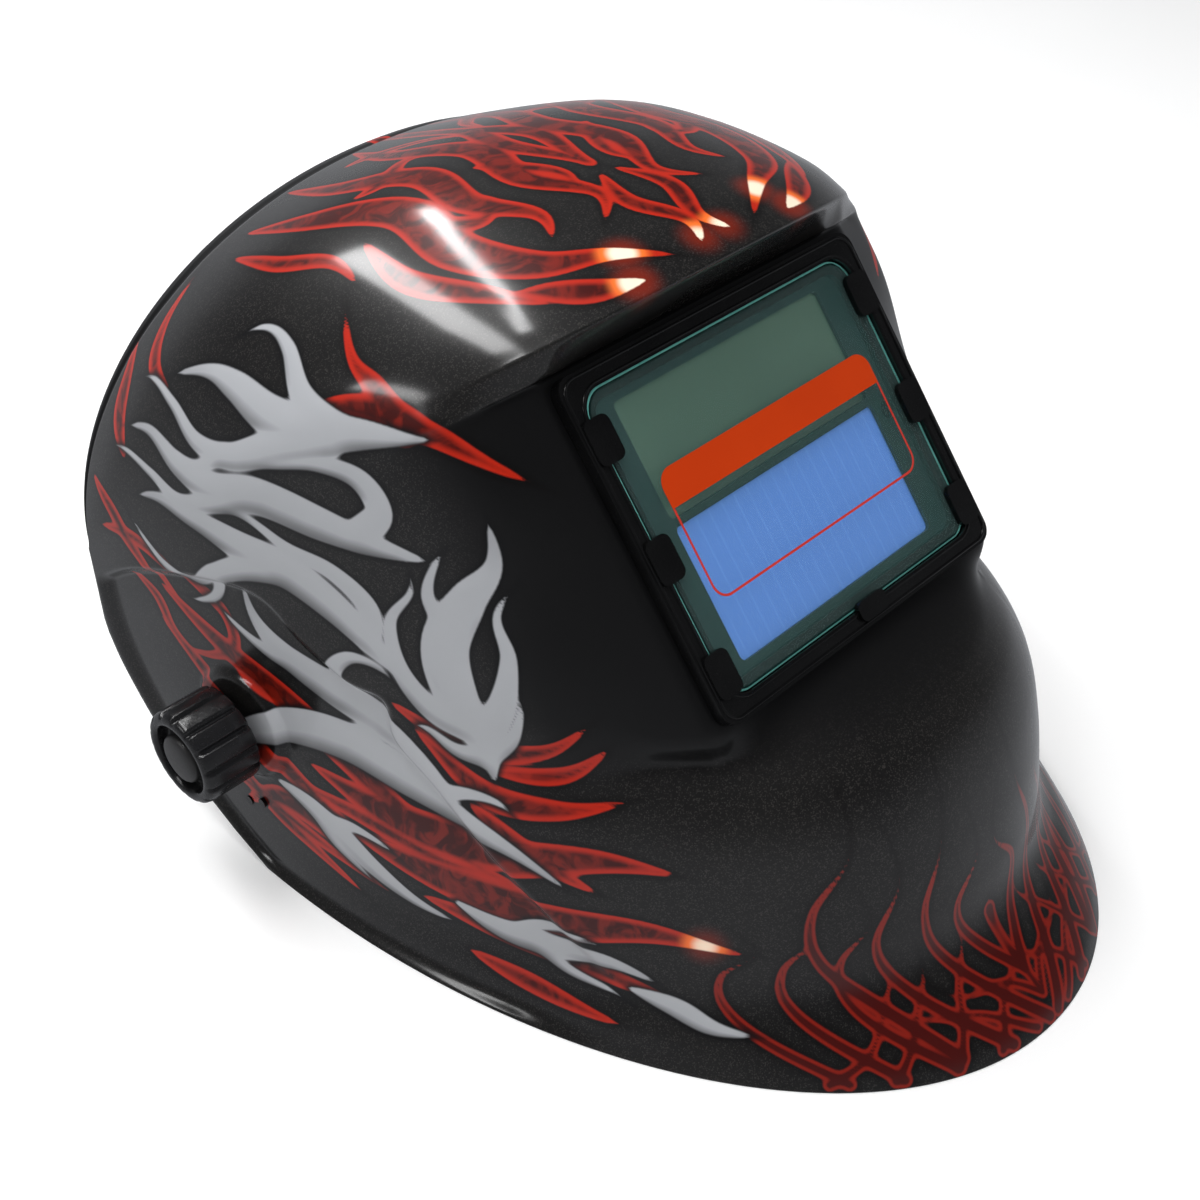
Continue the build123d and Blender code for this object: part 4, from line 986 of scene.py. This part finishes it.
def bead(name, box, radius, out):
    """A round bead along a box on the window frame."""
    path = rounded_box(*box, radius)
    curve = bpy.data.curves.new(name, "CURVE")
    curve.dimensions = "3D"
    curve.bevel_depth = BEAD_R * MM
    curve.bevel_resolution = 3
    spline = curve.splines.new("POLY")
    spline.points.add(len(path) - 1)
    for point, (u, v) in zip(spline.points, path):
        point.co = (*(window_point(u, v, out) * MM), 1)
    spline.use_cyclic_u = True
    curve.materials.append(satin)
    return link_object(name, curve)


lens_outline = rounded_box(*LENS, LENS_R)
lens = window_loops("lens_sheet", [
    (lens_outline, LENS_OUT),
    (lens_outline, LENS_OUT + CHAMFER_FROM),
    (rounded_box(*shrunk(LENS, CHAMFER), CHAMFER_R), LENS_OUT + LENS_THICK),
], clear_lens)
lens.data.materials.append(mottled("lens_edge", 90.0, 3.0, (0.16, 0.62, 0.55), (0.30, 0.80, 0.72),
                                   Roughness=0.15, Coat_Weight=1.0, Alpha=0.85))
for face in lens.data.polygons:
    face.material_index = 0 if len(face.vertices) > 4 else 1
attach(lens, "shell")
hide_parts("cover_lens")

film_outline = rounded_box(*FILM, FILM_R)
film_clear = mottled("film_clear", 40.0, 3.0, (0.50, 0.72, 0.70), (0.62, 0.80, 0.78),
                     Alpha=0.02, Roughness=0.12, Coat_Weight=0.3, Coat_Roughness=0.05)
film = window_loops("film_sheet", [(film_outline, FILM_OUT), (film_outline, FILM_OUT + FILM_THICK)],
                    film_clear)
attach(film, "shell")
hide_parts("protective_film")

label_outline = rounded_box(*LABEL, LABEL_R)
label_inside = rounded_box(*shrunk(LABEL, LABEL_LINE), LABEL_R - LABEL_LINE)
band_outline = [(u, max(v, BAND_FROM)) for u, v in label_outline]
band_ink = mottled("film_band", 25.0, 3.0, (0.50, 0.034, 0.002), (0.60, 0.048, 0.003),
                   Roughness=0.3, Specular_IOR_Level=0.15, Coat_Weight=0.3, Coat_Roughness=0.08)
line_ink = mottled("film_line", 80.0, 3.0, (0.52, 0.022, 0.012), (0.62, 0.035, 0.016),
                   Roughness=0.35, Coat_Weight=0.6)
band = window_loops("film_band", [(band_outline, PRINT_OUT), (band_outline, PRINT_OUT + BAND_INK)],
                    band_ink)
line = window_loops("film_line", [(label_outline, PRINT_OUT), (label_outline, PRINT_OUT + LINE_INK),
                                  (label_inside, PRINT_OUT + LINE_INK), (label_inside, PRINT_OUT)],
                    line_ink, closed=False)
for mark in (band, line):
    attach(mark, "shell")

for bead_spec in BEADS:
    made_bead = bead(*bead_spec)
    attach(made_bead, "shell")

# ---------------- tension knobs
KNOB_BASE = 124.1
AROUND, GRIPS = 336, 14
GRIP_DEPTH, GRIP_SHARE = 1.3, 0.34
KNOB_PROFILE = [                # distance out from the base, radius, share of the grip grooves
    (0.0, 13.8, 0), (0.0, 14.9, 0.6), (0.35, 15.4, 1), (1.0, 15.6, 1), (6.0, 15.6, 1), (11.5, 15.6, 1),
    (16.4, 15.5, 1), (17.6, 15.2, 0.85), (18.3, 14.6, 0.5), (18.7, 13.9, 0.15), (18.85, 13.1, 0),
    (18.8, 12.2, 0), (18.5, 11.7, 0), (17.9, 11.4, 0), (16.0, 11.2, 0), (14.4, 11.0, 0), (14.0, 10.5, 0),
    (13.9, 9.6, 0), (13.9, 8.3, 0),
]
CAP_PROFILE = [
    (13.8, 8.2, 0), (15.2, 8.1, 0), (17.4, 8.0, 0), (18.2, 7.8, 0), (18.8, 7.2, 0), (19.15, 6.2, 0),
    (19.4, 4.8, 0), (19.55, 3.0, 0), (19.62, 1.2, 0), (19.64, 0.15, 0),
]


def turned(name, side, profile, material):
    """A turned piece on the pivot axis; grooves run along it where the profile says."""
    angle = np.linspace(0, 2 * np.pi, AROUND, endpoint=False)
    wave = np.abs(((angle * GRIPS / (2 * np.pi)) % 1.0) - 0.5) * 2
    notch = np.clip((GRIP_SHARE - wave) / GRIP_SHARE, 0, 1) ** 0.8
    points = []
    for out, radius, share in profile:
        r = radius - GRIP_DEPTH * share * notch
        points.append(np.stack([np.full(AROUND, side * (KNOB_BASE + out)),
                                PIVOT_Y + r * np.cos(angle), PIVOT_Z + r * np.sin(angle)], 1))
    faces = [*ring_quads(len(profile), AROUND), *ring_ends(len(profile), AROUND)[::-1]]
    return mesh_object(name, np.vstack(points), faces if side > 0 else [f[::-1] for f in faces], material)


for side_name, side in (("left", 1), ("right", -1)):
    knob = turned(f"ribbed_knob_{side_name}", side, KNOB_PROFILE, knob_gloss)
    cap = turned(f"domed_cap_{side_name}", side, CAP_PROFILE, cap_grey)
    for piece, node, slot_name in (
        (knob, "tension_knob", "knob_plastic"),
        (cap, "knob_cap", "cap_plastic"),
    ):
        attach(piece, f"tension_knob_{side_name}")
        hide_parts(f"{node}_{side_name}")

# ---------------- padded fabric: sweatband and rear pad
SIM_SCALE = 20.0                # the cloth solver is steadier on a larger copy
SIM_FRAMES, SIM_PRESSURE = 20, 5.0
PUFF_LIMIT = 1.6                # how far a point may swell
STITCH_LENGTH, STITCH_GAP, STITCH_FROM = 2.2, 1.2, 0.5
THREAD_R, THREAD_SIDES = 0.28, 6
THREAD_RINGS = ((0.2, 0.85), (0.5, 1.0), (0.8, 0.85))     # shares of the stitch's length and radius


def charcoal_knit():
    s = Shader("charcoal_knit")
    loops = s.cells(900.0)[0]
    worn = s.mix(s.noise(30.0, 3.0), (0.030, 0.030, 0.033), (0.045, 0.045, 0.048))
    # Painted shade: the gaps between the knit loops are darkened; elsewhere the tone drifts at random
    s.set(Base_Color=s.mix(s.step(loops, 0.2, 0.6), worn, (0.012, 0.012, 0.013)),
          Roughness=0.95, Sheen_Weight=0.35, Sheen_Roughness=0.4)
    s.bump(s.math("ADD", s.scaled(loops, -1.0), s.scaled(s.noise(1800.0, 3.0), 0.4)), 0.0004, 0.8)
    return s.material


def seam_thread():
    s = Shader("seam_thread")
    s.set(Base_Color=s.mix(s.noise(900.0), (0.10, 0.10, 0.105), (0.17, 0.17, 0.175)), Roughness=0.8)
    s.bump(s.noise(2500.0), 0.0001, 0.5)
    return s.material


knit, thread = charcoal_knit(), seam_thread()


def inflate(obj, pinned):
    """Swells padded fabric between its pinned seams with the cloth solver."""
    mesh = obj.data
    start = np.empty(len(mesh.vertices) * 3)
    mesh.vertices.foreach_get("co", start)
    mesh.vertices.foreach_set("co", start * SIM_SCALE)
    mesh.update()
    obj.vertex_groups.new(name="seams").add([int(k) for k in pinned], 1.0, "REPLACE")
    cloth = obj.modifiers.new("inflate", "CLOTH")
    cloth.settings.use_pressure = True
    cloth.settings.uniform_pressure_force = SIM_PRESSURE
    cloth.settings.vertex_group_mass = "seams"
    cloth.settings.effector_weights.gravity = 0.0
    cloth.collision_settings.use_collision = False
    cloth.point_cache.frame_start, cloth.point_cache.frame_end = 1, SIM_FRAMES
    for frame_number in range(1, SIM_FRAMES + 1):
        bpy.context.scene.frame_set(frame_number)
    settled = obj.evaluated_get(bpy.context.evaluated_depsgraph_get()).data
    end = np.empty(len(settled.vertices) * 3)
    settled.vertices.foreach_get("co", end)
    obj.modifiers.remove(cloth)
    bpy.context.scene.frame_set(1)
    move = (end / SIM_SCALE - start).reshape(-1, 3)
    length = np.maximum(np.linalg.norm(move, axis=1, keepdims=True), 1e-9)
    move *= np.minimum(length, PUFF_LIMIT * MM) / length
    mesh.vertices.foreach_set("co", (start.reshape(-1, 3) + move).ravel())
    mesh.update()


def fabric_form(name, node, body, points, faces, pinned):
    """A padded piece: its form, swollen by the cloth solver, then smoothed by one subdivision."""
    made = mesh_object(name, points, faces, knit)
    inflate(made, pinned)
    smooth = made.modifiers.new("smooth", "SUBSURF")
    smooth.levels = smooth.render_levels = 1
    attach(made, body)
    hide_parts(node)


def stitch_rings(a, b):
    """Points of one stitch from a to b: its ends, and thin rings between them."""
    along = (b - a) / np.linalg.norm(b - a)
    side = np.cross(along, (0.3, 0.2, 0.9))
    side /= np.linalg.norm(side)
    up = np.cross(along, side)
    turns = np.linspace(0, 2 * math.pi, THREAD_SIDES, endpoint=False)
    rings = [a + (b - a) * share + THREAD_R * r * (math.cos(t) * side + math.sin(t) * up)
             for share, r in THREAD_RINGS for t in turns]
    return [a, *rings, b]


def stitches(name, body, path):
    """A row of thread stitches along a path."""
    path = np.asarray(path, float)
    run = np.concatenate([[0], np.cumsum(np.linalg.norm(np.diff(path, axis=0), axis=1))])
    one = 2 + THREAD_SIDES * len(THREAD_RINGS)
    tube = ring_quads(len(THREAD_RINGS), THREAD_SIDES) + 1
    points, faces = [], []
    for start in np.arange(STITCH_FROM, run[-1] - STITCH_LENGTH, STITCH_LENGTH + STITCH_GAP):
        a, b = (np.array([np.interp(at, run, path[:, k]) for k in range(3)])
                for at in (start, start + STITCH_LENGTH))
        base = len(points)
        last = base + one - 1
        points += stitch_rings(a, b)
        faces += [tuple(quad + base) for quad in tube]
        for k in range(THREAD_SIDES):
            n = (k + 1) % THREAD_SIDES
            faces.append((base, base + 1 + n, base + 1 + k))
            faces.append((last - THREAD_SIDES + k, last - THREAD_SIDES + n, last))
    made = mesh_object(name, points, faces, thread)
    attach(made, body)


# Sweatband: rolled edges, and upright seams between its cells
BAND_RX, BAND_RY, BAND_CENTRE = 76.7, 85.8, 47.0
BAND_LOW_Z, BAND_HIGH_Z = 39.3, 70.7
BAND_HALF = math.radians(69.0)
STATIONS, SEAM_EVERY, END_STATIONS, SECTION = 225, 28, 6, 36
BAND_OFFSET, BAND_THIN, BAND_PUFF, BAND_CROWN = 0.3, 2.3, 1.2, 1.0
SEAM_INSET, SEAM_DEPTH, SEAM_POINTS = 2.4, 3.6, 160


def band_frame(turn):
    """A point on the sweatband's outer face and the way in from it."""
    point = np.array([BAND_RX * math.sin(turn), BAND_CENTRE - BAND_RY * math.cos(turn)])
    inward = -np.array([math.sin(turn) / BAND_RX, -math.cos(turn) / BAND_RY])
    return point, inward / np.linalg.norm(inward)


def band_section(station, turn):
    """Points of the sweatband's section at a station, and which of them are sewn down."""
    point, inward = band_frame(turn)
    from_seam = min(station % SEAM_EVERY, SEAM_EVERY - station % SEAM_EVERY) / (SEAM_EVERY / 2)
    end_share = min(1.0, min(station, STATIONS - 1 - station) / END_STATIONS)
    puff = (1 - (1 - from_seam) ** 3) * 0.55 + 0.45
    thick = (BAND_THIN + BAND_PUFF * puff) * (0.35 + 0.65 * math.sqrt(end_share))
    middle_z, half_z = (BAND_LOW_Z + BAND_HIGH_Z) / 2, (BAND_HIGH_Z - BAND_LOW_Z) / 2
    at_seam = station % SEAM_EVERY == 0 or station in (1, STATIONS - 2, STATIONS - 1)
    points, pinned = [], []
    for j in range(SECTION):
        angle = 2 * math.pi * j / SECTION
        across, up = math.cos(angle), math.sin(angle)
        flat_up = math.copysign(abs(up) ** 0.55, up)
        deep = math.copysign(abs(across) ** 0.55, across)
        crown = BAND_CROWN * puff * end_share * (1 - flat_up**2) if across > 0 else 0
        z = middle_z + half_z * flat_up * (0.90 + 0.10 * math.sqrt(end_share))
        points.append((*(point + inward * (BAND_OFFSET + thick * (1 + deep) / 2 + crown)), z))
        if across <= 0.05 or at_seam:
            pinned.append(station * SECTION + j)
    return points, pinned


def sweatband():
    """The padded band in front of the forehead, with a row of stitches along each edge."""
    points, pinned = [], []
    for station, turn in enumerate(np.linspace(-BAND_HALF, BAND_HALF, STATIONS)):
        section, sewn = band_section(station, turn)
        points += section
        pinned += sewn
    faces = [*ring_quads(STATIONS, SECTION), *ring_ends(STATIONS, SECTION)]
    fabric_form("sweatband_fabric", "sweatband", "headgear", points, faces, pinned)
    for row, z in enumerate((BAND_LOW_Z + SEAM_INSET, BAND_HIGH_Z - SEAM_INSET)):
        seam_half = BAND_HALF * 0.985
        frames = [band_frame(turn) for turn in np.linspace(-seam_half, seam_half, SEAM_POINTS)]
        seam = [(*(point + inward * SEAM_DEPTH), z) for point, inward in frames]
        stitches(f"sweatband_stitching_{row}", "headgear", seam)


# Rear pad: a crowned cushion in front of the ratchet, sewn round its edge
PAD_U, PAD_V, PAD_BACK, PAD_MIDDLE_Z = 28.8, 15.8, 140.6, 55.0
PAD_COUNT_U, PAD_COUNT_V = 46, 28
PAD_EDGE, PAD_CROWN, PAD_SEAM = 1.6, 2.4, 3.4
PAD_BORDER = [(-26, -9), (-26, 9), (-20, 13.4), (0, 13.1), (20, 13.4), (26, 9), (26, -9), (20, -13.4),
              (0, -13.1), (-20, -13.4), (-26, -9)]


def rear_pad():
    """The padded cushion against the back of the head, with its border of stitches."""
    u, v = np.meshgrid(np.linspace(-1, 1, PAD_COUNT_U), np.linspace(-1, 1, PAD_COUNT_V), indexing="ij")
    reach = np.maximum(np.abs(u), np.abs(v))
    squareness = np.maximum((np.abs(u) ** 7 + np.abs(v) ** 7) ** (1 / 7), 1e-9)
    x = u * PAD_U * reach / squareness
    z = PAD_MIDDLE_Z + v * PAD_V * reach / squareness * (1 - 0.05 * (1 - u**2))
    crown = (1 - reach**5) * (0.7 + 0.3 * (1 - np.exp(-((u / 0.08) ** 2))))
    front = np.stack([x, PAD_BACK - PAD_EDGE - PAD_CROWN * crown, z], -1).reshape(-1, 3)
    rear = np.stack([x, np.full_like(x, PAD_BACK), z], -1).reshape(-1, 3)
    offset = PAD_COUNT_U * PAD_COUNT_V
    index = np.arange(offset).reshape(PAD_COUNT_U, PAD_COUNT_V)
    quads = grid_quads(index)[..., [0, 3, 2, 1]].reshape(-1, 4)
    ring = [*index[:, 0], *index[-1, 1:], *index[-2::-1, -1], *index[0, -2:0:-1]]
    faces = [*quads, *(quads[:, ::-1] + offset)]
    faces += [(b, a, a + offset, b + offset) for a, b in zip(ring, [*ring[1:], ring[0]])]
    middle_seam = index[PAD_COUNT_U // 2 - 1:PAD_COUNT_U // 2 + 1].ravel()
    fabric_form("rear_pad_fabric", "rear_pad", "rear_cradle", np.vstack([front, rear]), faces,
                [*range(offset, 2 * offset), *ring, *middle_seam])
    border = [(x, PAD_BACK - PAD_SEAM, PAD_MIDDLE_Z + z) for x, z in curve_through(PAD_BORDER, 8)]
    stitches("rear_pad_stitching", "rear_cradle", border)


sweatband()
rear_pad()

# ---------------- floor
FLOOR_HALF, FLOOR_Z = 20000.0, -0.3
pale = mottled("pale_floor", 6.0, 3.0, (0.80, 0.80, 0.80), (0.84, 0.84, 0.84),
               Roughness=0.9, Emission_Color=(1.0, 1.0, 1.0, 1.0), Emission_Strength=0.22)
floor_corners = [(x * FLOOR_HALF, y * FLOOR_HALF, FLOOR_Z) for x, y in ((-1, -1), (1, -1), (1, 1), (-1, 1))]
floor = mesh_object("floor", floor_corners, [(0, 1, 2, 3)], pale, smooth=False)
floor.visible_glossy = False
